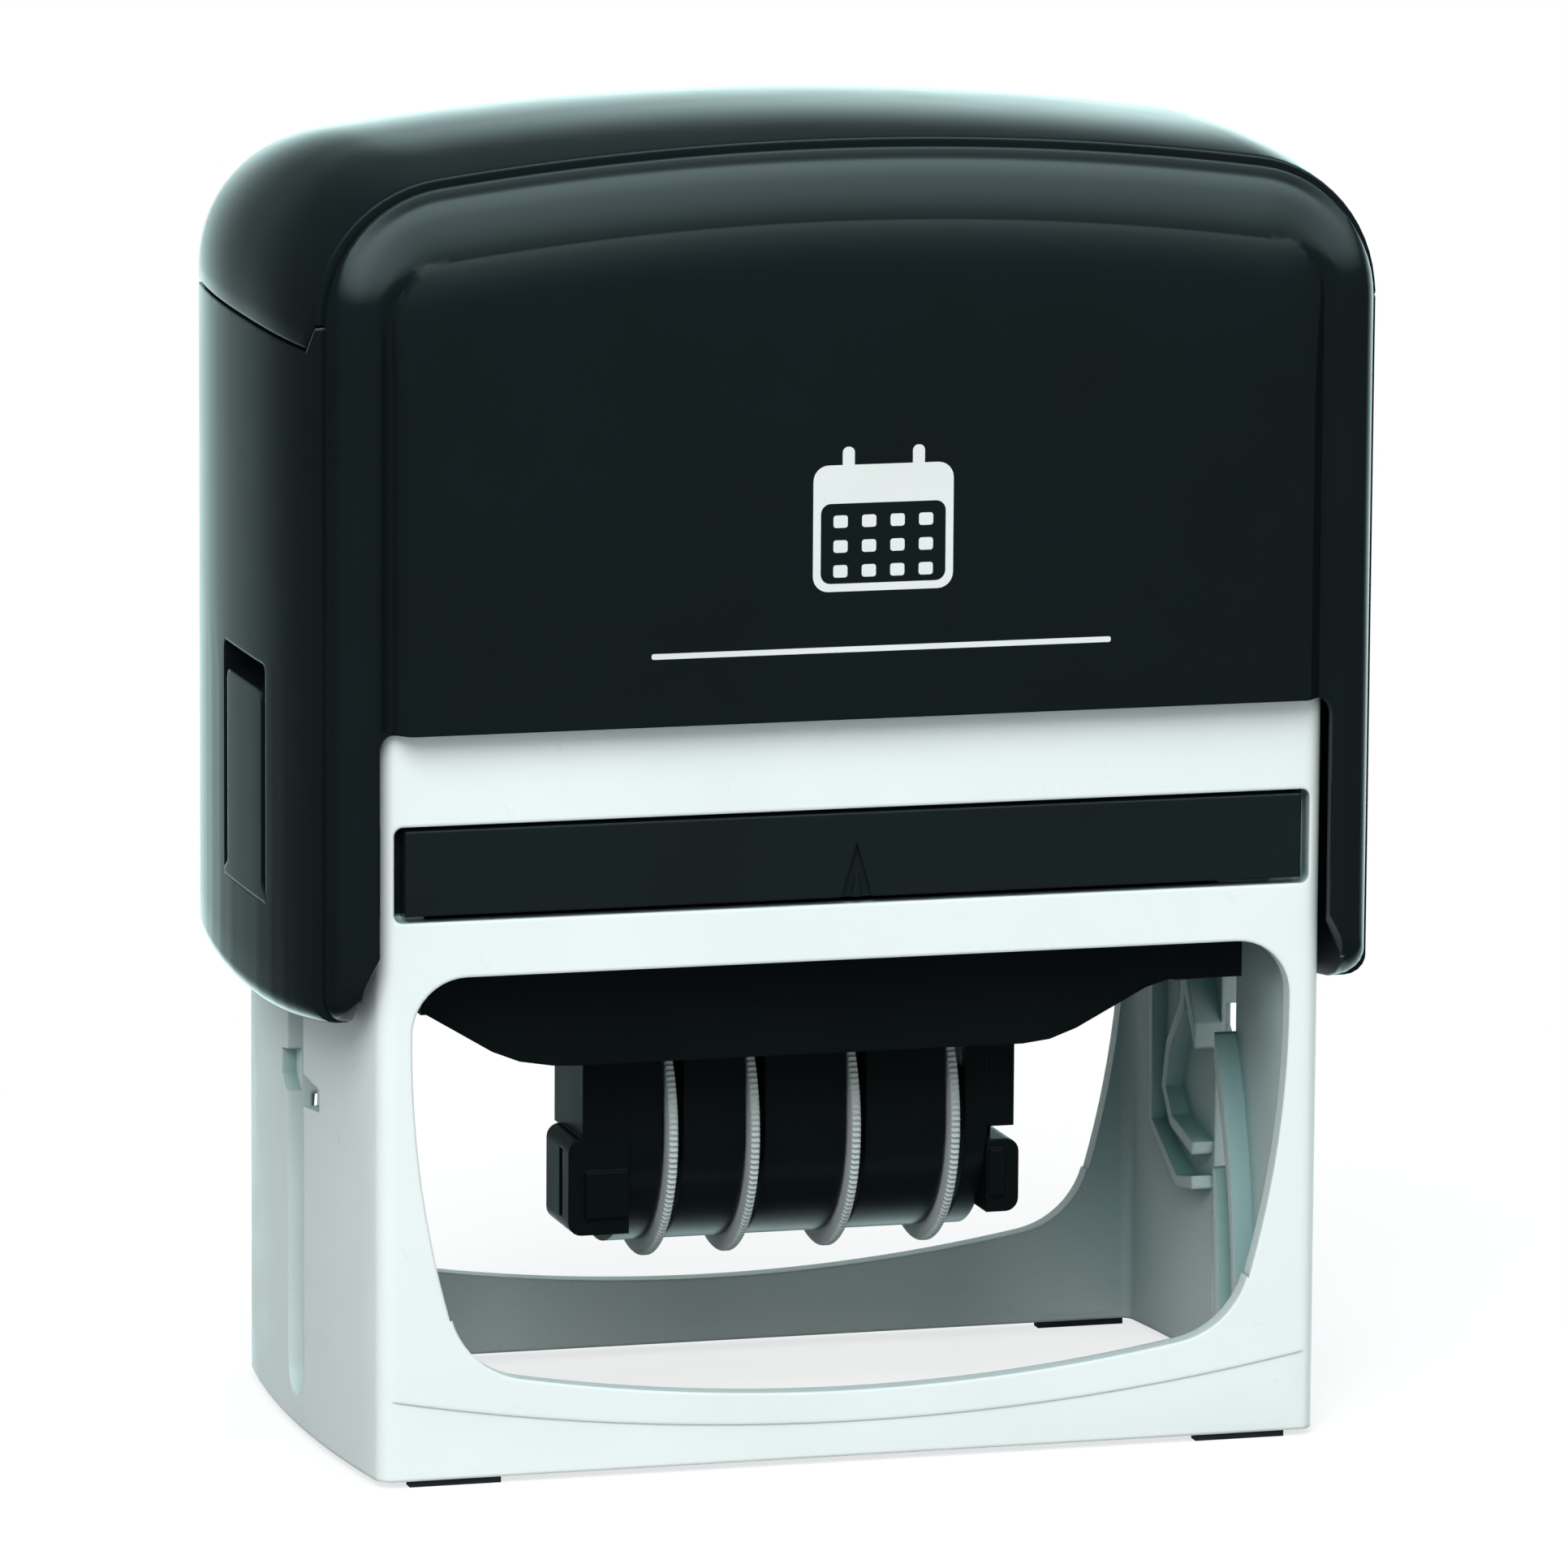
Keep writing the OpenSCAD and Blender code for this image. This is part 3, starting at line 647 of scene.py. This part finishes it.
def build_base():
    hw, hd = base_hi.x - base_bulge, base_hi.y
    side_wall, front_wall = 2.2, 1.8
    z0, z1 = base_lo.z, base_hi.z
    base = prism("base_frame_shell", plan_outline(hw, hd, 1.5), "z", z0, z1)
    inner = plan_outline(hw - side_wall, hd - front_wall, 1.0)
    cut(base, prism("lower_room", inner, "z", -5, 61), prism("upper_room", inner, "z", 63, 90))
    cut(base, prism("window", window_outline(), "y", -60, 60))
    tray_lo, tray_hi = mm_box("ink_tray")
    tray_way = rounded(tray_lo.x - 0.25, tray_hi.x + 0.25, tray_lo.z - 0.6, tray_hi.z - 0.25, 0.8)
    cut(base, prism("tray_way", tray_way, "y", -60, -hd + 2.1))
    for side in (-1, 1):
        cut_side_wall(base, side, hw, hd)
    for side in (-1, 1):
        cut(base, box("wall_top", -60, 60, *sorted((side * 20.8, side * 60)), 67.8, 90))
    join(base, spring_post(5.5, 62, z1 - 1))
    foot_hi = mm_box("rubber_feet")[1]
    for sx in (-1, 1):
        for sy in (-1, 1):
            xs = sorted((sx * 32.2, sx * foot_hi.x))
            ys = sorted((sy * 23.35, sy * foot_hi.y))
            cut(base, box("foot_pocket", *xs, *ys, -2, foot_hi.z))
    crease_hw = 42.8
    xs = [between(-crease_hw, crease_hw, t / 24) for t in range(25)]
    plinth = [(x, 3.8 + x * x / 440) for x in xs] + [(crease_hw, -5), (-crease_hw, -5)]
    for side in (-1, 1):
        cut(base, prism("plinth", plinth, "y", side * (hd - 0.1), side * 60))
    smooth(base, 30)
    finish_piece(base, BASE_WHITE, "base_white", "base", "base_frame")


def spring_post(r, z0, z1):
    """The post that guides the return spring, with a chamfered end."""
    chamfer = 0.8
    sections = ((r, z0), (r, z1 - chamfer), (r - chamfer, z1))
    return loft("post", [[(x, y, z) for x, y in arc(0, 0, radius, 0, 350, 35)] for radius, z in sections])


# ---------- setting wheels ----------

WHEELS = ("day_tens", "day_units", "month", "year")


def build_wheel(name):
    """A hub and a thin disc with a serrated edge; profile points are (x, radius, share of the teeth)."""
    lo, hi = mm_box(name + "_wheel")
    r = (hi.z - lo.z) / 2
    bore, hub, stub = 1.55, 4.0, 3.0
    disc0 = mm_box(name + "_band")[1].x + 0.2
    disc1 = disc0 + 0.9
    face = [(0, 6.0, 0), (0.08, 6.2, 0), (0.08, r - 2.6, 0), (0, r - 2.4, 0), (0, r - 0.5, 0)]
    face += [(0.06, r - 0.2, 0.5), (0.22, r, 1)]
    profile = [(lo.x, bore, 0), (lo.x, hub - 0.2, 0), (lo.x + 0.2, hub, 0), (disc0 - 0.01, hub, 0)]
    profile += [(disc0 + inset, radius, share) for inset, radius, share in face]
    profile += [(disc1 - inset, radius, share) for inset, radius, share in reversed(face)]
    profile.append((disc1, stub, 0))
    if hi.x > disc1 + 1:
        profile += [(hi.x - 0.2, stub, 0), (hi.x, stub - 0.2, 0)]
    profile.append((profile[-1][0], bore, 0))
    wheel = lathe(name + "_wheel_serrated", profile, (hi.z + lo.z) / 2, 312, 0.3)
    smooth(wheel, 28)
    finish_piece(wheel, WHEEL_GREY, "wheel_grey", name + "_wheel", name + "_wheel")


# ---------- date bands ----------

SEGMENTS = {
    "0": "abcdef", "1": "bc", "2": "abged", "3": "abgcd", "4": "fgbc",
    "5": "afgcd", "6": "afgedc", "7": "abc", "8": "abcdefg", "9": "abcdfg",
}


def digit_bars(digit, cx, half_w, half_h, t):
    """Bars (x0, x1, v0, v1) of one generic numeral; mirrored, as a printing type is."""
    w, h = half_w, half_h
    bars = {"a": (-w, w, h - t, h), "g": (-w, w, -t / 2, t / 2), "d": (-w, w, -h, t - h),
            "b": (w - t, w, 0, h), "c": (w - t, w, -h, 0), "f": (-w, t - w, 0, h), "e": (-w, t - w, -h, 0)}
    return [(cx - bars[s][1], cx - bars[s][0], bars[s][2], bars[s][3]) for s in SEGMENTS[digit]]


BAND_CORNER = 1.6


def band_point(s, hw, top_z, axle_z, out):
    """Point (y, z) at length s along a band, from the middle of its printing face, raised by out."""
    r = BAND_CORNER
    runs = [hw - r, r * math.pi / 2, top_z - r - axle_z, hw * math.pi]
    half = sum(runs[:3]) + runs[3] / 2
    sign = 1
    s = (s + half) % (2 * half) - half
    if s < 0:
        s, sign = -s, -1
    if s < runs[0]:
        return sign * s, top_z + out
    s -= runs[0]
    if s < runs[1]:
        a = s / r
        return sign * (hw - r + (r + out) * math.sin(a)), top_z - r + (r + out) * math.cos(a)
    s -= runs[1]
    if s < runs[2]:
        return sign * (hw + out), top_z - r - s
    a = (s - runs[2]) / hw
    return sign * (hw + out) * math.cos(a), axle_z - (hw + out) * math.sin(a)


def build_band(name, labels):
    """A band loop over anvil and axle, with its labels raised along it."""
    lo, hi = mm_box(name + "_band")
    top_z, hw = hi.z - 0.4, hi.y
    axle_z = lo.z + hw
    r = BAND_CORNER
    length = 2 * (hw - r + r * math.pi / 2 + top_z - r - axle_z + hw * math.pi / 2)
    steps = 120
    points, faces = [], []
    for k in range(steps):
        y0, z0 = band_point(length * k / steps, hw, top_z, axle_z, 0)
        y1, z1 = band_point(length * k / steps, hw, top_z, axle_z, -1.0)
        points += [(lo.x, y0, z0), (hi.x, y0, z0), (hi.x, y1, z1), (lo.x, y1, z1)]
        a, b = 4 * k, 4 * ((k + 1) % steps)
        faces += [(a + j, a + (j + 1) % 4, b + (j + 1) % 4, b + j) for j in range(4)]
    pitch = length / len(labels)
    width = hi.x - lo.x - 0.8
    for i, label in enumerate(labels):
        cell = width / len(label)
        for k, digit in enumerate(label):
            cx = hi.x - 0.4 - cell * (k + 0.5)
            for x0, x1, v0, v1 in digit_bars(digit, cx, cell / 2 - 0.2, 1.75, 0.45):
                add_bar(points, faces, x0, x1, i * pitch + v0, i * pitch + v1, hw, top_z, axle_z)
    band = add_mesh(name + "_band_printed", points, faces)
    smooth(band, 25)
    finish_piece(band, BAND_RUBBER, "band_rubber", "carrier", name + "_band")


def add_bar(points, faces, x0, x1, s0, s1, hw, top_z, axle_z):
    """A raised bar on a band, bent along it in four steps."""
    start = len(points)
    for k in range(5):
        s = between(s0, s1, k / 4)
        for out in (-0.05, 0.4):
            y, z = band_point(s, hw, top_z, axle_z, out)
            points += [(x0, y, z), (x1, y, z)]
    for k in range(4):
        a, b = start + 4 * k, start + 4 * (k + 1)
        faces += [(a, b, b + 1, a + 1), (a + 2, a + 3, b + 3, b + 2)]
        faces += [(a, a + 2, b + 2, b), (a + 1, b + 1, b + 3, a + 3)]
    faces += [(start, start + 1, start + 3, start + 2), (start + 16, start + 18, start + 19, start + 17)]


# ---------- text plate, ink pad, spring ----------

BLOCK_FACES = ((3, 2, 1, 0), (4, 5, 6, 7), (0, 1, 5, 4), (1, 2, 6, 5), (2, 3, 7, 6), (3, 0, 4, 7))


def text_rows(x0, x1, z0, z1):
    """Rows of short raised bars of random length."""
    margin, half_height, space = 7, 0.85, 1.0
    rng = random.Random(7)
    points, faces = [], []
    for y in (-14.6, -11.2, -7.9, 7.9, 11.2, 14.6):
        x = x0 + margin
        while x < x1 - margin - 2:
            length = rng.uniform(1.6, 6.5)
            end = min(x + length, x1 - margin)
            low, high = y - half_height, y + half_height
            quad = [(x, low), (end, low), (end, high), (x, high)]
            start = len(points)
            points += [(px, py, z) for z in (z0, z1) for px, py in quad]
            faces += [tuple(start + i for i in face) for face in BLOCK_FACES]
            x = end + space
    return add_mesh("rows", points, faces)


def build_text_plate():
    """Rubber die: a backing sheet with a raised border and short raised bars in place of text."""
    lo, hi = mm_box("text_plate")
    back_z = hi.z - 0.8
    plate = prism("text_plate_die", rounded(lo.x, hi.x, lo.y, hi.y, 1.0), "z", lo.z, back_z)
    border = prism("border", rounded(lo.x + 1, hi.x - 1, lo.y + 1, hi.y - 1, 1.0), "z", back_z - 0.1, hi.z)
    inside = rounded(lo.x + 1.8, hi.x - 1.8, lo.y + 1.8, hi.y - 1.8, 0.6)
    cut(border, prism("inside", inside, "z", lo.z, hi.z + 1))
    join(plate, border)
    join(plate, text_rows(lo.x, hi.x, back_z - 0.02, hi.z))
    housing_lo, housing_hi = mm_box("dater_housing")
    cut(plate, box("date_window", housing_lo.x, housing_hi.x, -5.6, 5.6, lo.z - 1, hi.z + 1))
    smooth(plate, 30)
    finish_piece(plate, DIE_RUBBER, "die_rubber", "carrier", "text_plate")


def build_tray():
    """The tray with its front strip trimmed, so that a dark gap shows all round it."""
    lo, hi = mm_box("ink_tray")
    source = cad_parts["ink_tray"]
    tray = bpy.data.objects.new("ink_tray_moulded", source.data.copy())
    tray.matrix_world = source.matrix_world.copy()
    scene.collection.objects.link(tray)
    front = (lo.y - 1, lo.y + 1.9)
    top = box("trim", -60, 60, *front, hi.z - 0.65, 70)
    left = box("trim", -60, lo.x + 0.75, *front, 40, 70)
    right = box("trim", hi.x - 0.6, 60, *front, 40, 70)
    cut(tray, top, left, right)
    smooth(tray, 30)
    finish_piece(tray, TRAY_BLACK, "tray_black", "ink_tray", "ink_tray")


def build_pad():
    """Felt pad that hangs in the tray, its edges rounded and its face slightly uneven."""
    lo, hi = mm_box("ink_pad")
    loops = []
    for inset, z in ((1.2, lo.z), (0.5, lo.z + 0.12), (0.15, lo.z + 0.5), (0.0, lo.z + 1.2), (0.0, hi.z)):
        outline = rounded(lo.x + inset, hi.x - inset, lo.y + inset, hi.y - inset, 1.4)
        loops.append([(x, y, z) for x, y in outline])
    pad = loft("ink_pad_felt", loops)
    smooth(pad, 40)
    finish_piece(pad, PAD_FELT, "pad_felt", "ink_tray", "ink_pad")


def build_spring():
    """A wire coil whose two ends lie flat."""
    lo, hi = mm_box("return_spring")
    wire, turns, around, per_turn = 0.7, 7, 12, 40
    coil = (hi.x - lo.x) / 2 - wire
    n = turns * per_turn
    points, faces = [], []
    z0, z1 = lo.z + wire, hi.z - wire
    for i in range(n + 1):
        t = i / n
        a = 2 * math.pi * turns * t
        lift = 5 * t * t if t < 0.1 else 1 - 5 * (1 - t) ** 2 if t > 0.9 else 0.05 + (t - 0.1) * 1.125
        z = between(z0, z1, lift)
        for k in range(around):
            b = 2 * math.pi * k / around
            r = coil + wire * math.cos(b)
            points.append((r * math.cos(a), r * math.sin(a), z + wire * math.sin(b)))
    for i in range(n):
        a, b = i * around, (i + 1) * around
        faces += [(a + k, a + (k + 1) % around, b + (k + 1) % around, b + k) for k in range(around)]
    faces += [tuple(range(around - 1, -1, -1)), tuple(n * around + k for k in range(around))]
    spring = add_mesh("return_spring_coil", points, faces)
    smooth(spring, 40)
    finish_piece(spring, SPRING_STEEL, "spring_steel", "base", "return_spring")
    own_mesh(spring)


# ---------- printed mark on the front panel: a plain calendar page ----------

def print_shape(name, x, z, half_w, half_h, r):
    """A rounded patch of print round a point of the front panel, a hair proud of it."""
    outline = rounded(x - half_w, x + half_w, z - half_h, z + half_h, r)
    return prism(name, outline, "y", -panel_y - 0.02, -panel_y + 0.05)


def build_print():
    """White calendar page and a thin rule."""
    cx, cz, half_w, half_h, line = 1.5, 84.5, 6.4, 5.6, 0.7
    page = print_shape("panel_print", cx, cz, half_w, half_h, 1.4)
    hollow = rounded(cx - half_w + line, cx + half_w - line, cz - half_h + line, cz + half_h - 3.4, 0.9)
    cut(page, prism("hollow", hollow, "y", -panel_y - 1, -panel_y + 1))
    extra = [print_shape("ring", cx + dx, cz + half_h + 0.35, 0.55, 1.25, 0.5) for dx in (-3.2, 3.2)]
    for row in range(3):
        for col in range(4):
            extra.append(print_shape("day", cx - 3.9 + 2.6 * col, cz + 0.6 - 2.2 * row, 0.65, 0.55, 0.25))
    extra.append(print_shape("rule", cx, cz - half_h - 5.15, 21, 0.25, 0.2))
    join(page, *extra)
    finish_piece(page, PRINT_WHITE, "base_white", "cap")


# ---------- stage ----------

def area_light(name, location, target, size, power):
    """A soft square light that isn't seen in reflections."""
    data = bpy.data.lights.new(name, "AREA")
    data.energy = power
    data.size = size
    data.color = (0.96, 1.0, 0.995)
    light = bpy.data.objects.new(name, data)
    scene.collection.objects.link(light)
    light.location = location
    light.rotation_mode = "QUATERNION"
    light.rotation_quaternion = (Vector(target) - Vector(location)).to_track_quat("-Z", "Y")
    light.visible_glossy = False


def math_node(nodes, links, operation, a, b):
    """A Math node; each input is a socket or a number."""
    node = nodes.new("ShaderNodeMath")
    node.operation = operation
    for socket, value in zip(node.inputs, (a, b)):
        if isinstance(value, (int, float)):
            socket.default_value = value
        else:
            links.new(value, socket)
    return node.outputs["Value"]


def fade(nodes, links, value, start, end, low, high):
    """Goes smoothly from low to high as the value goes from start to end."""
    node = nodes.new("ShaderNodeMapRange")
    node.interpolation_type = "SMOOTHSTEP"
    for key, number in (("From Min", start), ("From Max", end), ("To Min", low), ("To Max", high)):
        node.inputs[key].default_value = number
    links.new(value, node.inputs["Value"])
    return node.outputs["Result"]


def reflection_tone(nodes, links, direction):
    """What glossy parts see in a direction: a bright strip low at the back, and a light from above."""
    split = nodes.new("ShaderNodeSeparateXYZ")
    links.new(direction, split.inputs["Vector"])
    behind = fade(nodes, links, split.outputs["Y"], 0.1, 0.75, 0.0, 1.0)
    left = fade(nodes, links, split.outputs["X"], -0.6, 0.1, 0.1, 1.0)
    sideways = math_node(nodes, links, "POWER", left, 4)
    low = fade(nodes, links, split.outputs["Z"], -0.05, 0.3, 1.6, 0.05)
    strip = math_node(nodes, links, "MULTIPLY", behind, math_node(nodes, links, "MULTIPLY", sideways, low))
    above = fade(nodes, links, split.outputs["Z"], 0.2, 1.0, 0.0, 3.0)
    ahead = fade(nodes, links, split.outputs["Y"], 0.1, 0.5, 1.0, 0.0)
    overhead = math_node(nodes, links, "MULTIPLY", above, ahead)
    rest = fade(nodes, links, split.outputs["Y"], -0.2, 0.4, 0.09, 0.035)
    return math_node(nodes, links, "ADD", math_node(nodes, links, "ADD", strip, overhead), rest)


def build_world():
    """White to the camera, softer as a light, and uneven in reflections, so that black parts show form."""
    world = bpy.data.worlds.new("studio")
    scene.world = world
    world.use_nodes = True
    nodes, links = world.node_tree.nodes, world.node_tree.links
    coords = nodes.new("ShaderNodeTexCoord")
    path = nodes.new("ShaderNodeLightPath")
    tone = reflection_tone(nodes, links, coords.outputs["Generated"])
    split = nodes.new("ShaderNodeSeparateXYZ")
    links.new(coords.outputs["Generated"], split.inputs["Vector"])
    light = fade(nodes, links, split.outputs["Y"], -0.7, 0.7, AMBIENT * 1.35, AMBIENT * 0.4)
    plain = math_node(nodes, links, "MAXIMUM", path.outputs["Is Camera Ray"], light)
    mix = nodes.new("ShaderNodeMix")
    links.new(path.outputs["Is Glossy Ray"], mix.inputs["Factor"])
    links.new(plain, mix.inputs["A"])
    links.new(tone, mix.inputs["B"])
    background = nodes["Background"]
    tint = nodes.new("ShaderNodeMix")
    tint.data_type = "RGBA"
    tint.inputs["A"].default_value = (0.88, 1.0, 1.0, 1)
    tint.inputs["B"].default_value = REFLECTION_TINT
    links.new(path.outputs["Is Glossy Ray"], tint.inputs["Factor"])
    seen = nodes.new("ShaderNodeMix")
    seen.data_type = "RGBA"
    links.new(path.outputs["Is Camera Ray"], seen.inputs["Factor"])
    links.new(tint.outputs["Result"], seen.inputs["A"])
    seen.inputs["B"].default_value = (1, 1, 1, 1)
    links.new(seen.outputs["Result"], background.inputs["Color"])
    links.new(mix.outputs["Result"], background.inputs["Strength"])


def mix_shaders(nodes, links, factor, first, second):
    node = nodes.new("ShaderNodeMixShader")
    links.new(factor, node.inputs["Fac"])
    links.new(first, node.inputs[1])
    links.new(second, node.inputs[2])
    return node.outputs["Shader"]


def build_floor():
    """White paper with a soft contact shadow; in reflections it carries on the studio's tones."""
    material, nodes, links, surface = new_material("floor")
    surface.inputs["Roughness"].default_value = 0.7
    surface.inputs["Specular IOR Level"].default_value = 0.1
    path = nodes.new("ShaderNodeLightPath")
    shade = nodes.new("ShaderNodeMix")
    shade.data_type = "RGBA"
    shade.inputs["A"].default_value = (0.3, 0.31, 0.31, 1)
    shade.inputs["B"].default_value = (0.95, 0.97, 0.97, 1)
    links.new(path.outputs["Is Camera Ray"], shade.inputs["Factor"])
    links.new(shade.outputs["Result"], surface.inputs["Base Color"])
    geometry = nodes.new("ShaderNodeNewGeometry")
    distance = nodes.new("ShaderNodeVectorMath")
    distance.operation = "LENGTH"
    links.new(geometry.outputs["Position"], distance.inputs[0])
    clear = fade(nodes, links, distance.outputs["Value"], 0.05, 0.16, 0.72, 1.0)
    paper = nodes.new("ShaderNodeEmission")
    seen = math_node(nodes, links, "MULTIPLY", clear, path.outputs["Is Camera Ray"])
    plain = mix_shaders(nodes, links, seen, surface.outputs["BSDF"], paper.outputs["Emission"])
    flip = nodes.new("ShaderNodeVectorMath")
    flip.operation = "SCALE"
    flip.inputs["Scale"].default_value = -1
    links.new(geometry.outputs["Incoming"], flip.inputs[0])
    glow = nodes.new("ShaderNodeEmission")
    glow.inputs["Color"].default_value = REFLECTION_TINT
    links.new(reflection_tone(nodes, links, flip.outputs["Vector"]), glow.inputs["Strength"])
    result = mix_shaders(nodes, links, path.outputs["Is Glossy Ray"], plain, glow.outputs["Emission"])
    links.new(result, nodes["Material Output"].inputs["Surface"])
    floor = prism("floor", [(-4000, -4000), (4000, -4000), (4000, 4000), (-4000, 4000)], "z", -10, 0)
    floor.data.materials.append(material)


def build_camera():
    """From the front, a little from the left and from above."""
    azimuth, elevation, roll = math.radians(-15.96), math.radians(9.87), math.radians(0.36)
    distance = 1.045
    data = bpy.data.cameras.new("camera")
    data.sensor_width = 36
    data.lens = 265.9
    data.clip_end = 20
    camera = bpy.data.objects.new("camera", data)
    scene.collection.objects.link(camera)
    scene.camera = camera
    level = math.cos(elevation)
    back = Vector((math.sin(azimuth) * level, -math.cos(azimuth) * level, math.sin(elevation)))
    camera.location = Vector((0.00043, 0, 0.05705)) + back * distance
    camera.rotation_mode = "QUATERNION"
    camera.rotation_quaternion = (-back).to_track_quat("-Z", "Y") @ Quaternion((0, 0, 1), roll)


# ---------- assembly ----------

build_cap()
for side in (-1, 1):
    build_lock_tab(side)
build_base()
for wheel in WHEELS:
    build_wheel(wheel)
build_band("day_tens", ["0", "1", "2", "3"] * 3)
build_band("day_units", [str(k) for k in range(10)])
build_band("month", [f"{k:02d}" for k in range(1, 13)])
build_band("year", [f"{k}" for k in range(24, 36)])
build_text_plate()
build_tray()
build_pad()
build_spring()
build_print()
for node in ("plate_carrier", "dater_housing", "dater_side_left", "dater_side_right", "band_anvil"):
    dress_node(node, CARRIER_BLACK)
for node in ("pivot_pin_left", "pivot_pin_right", "wheel_axle"):
    dress_node(node, PIN_STEEL)
dress_node("rubber_feet", FOOT_RUBBER)

build_world()
build_floor()
area_light("key", (-0.6, -1.15, 1.2), (0, 0, 0.05), 1.1, 26)
area_light("top", (0.1, 0.15, 1.5), (0, 0, 0.1), 0.9, 10)
build_camera()
scene.view_settings.view_transform = "Standard"
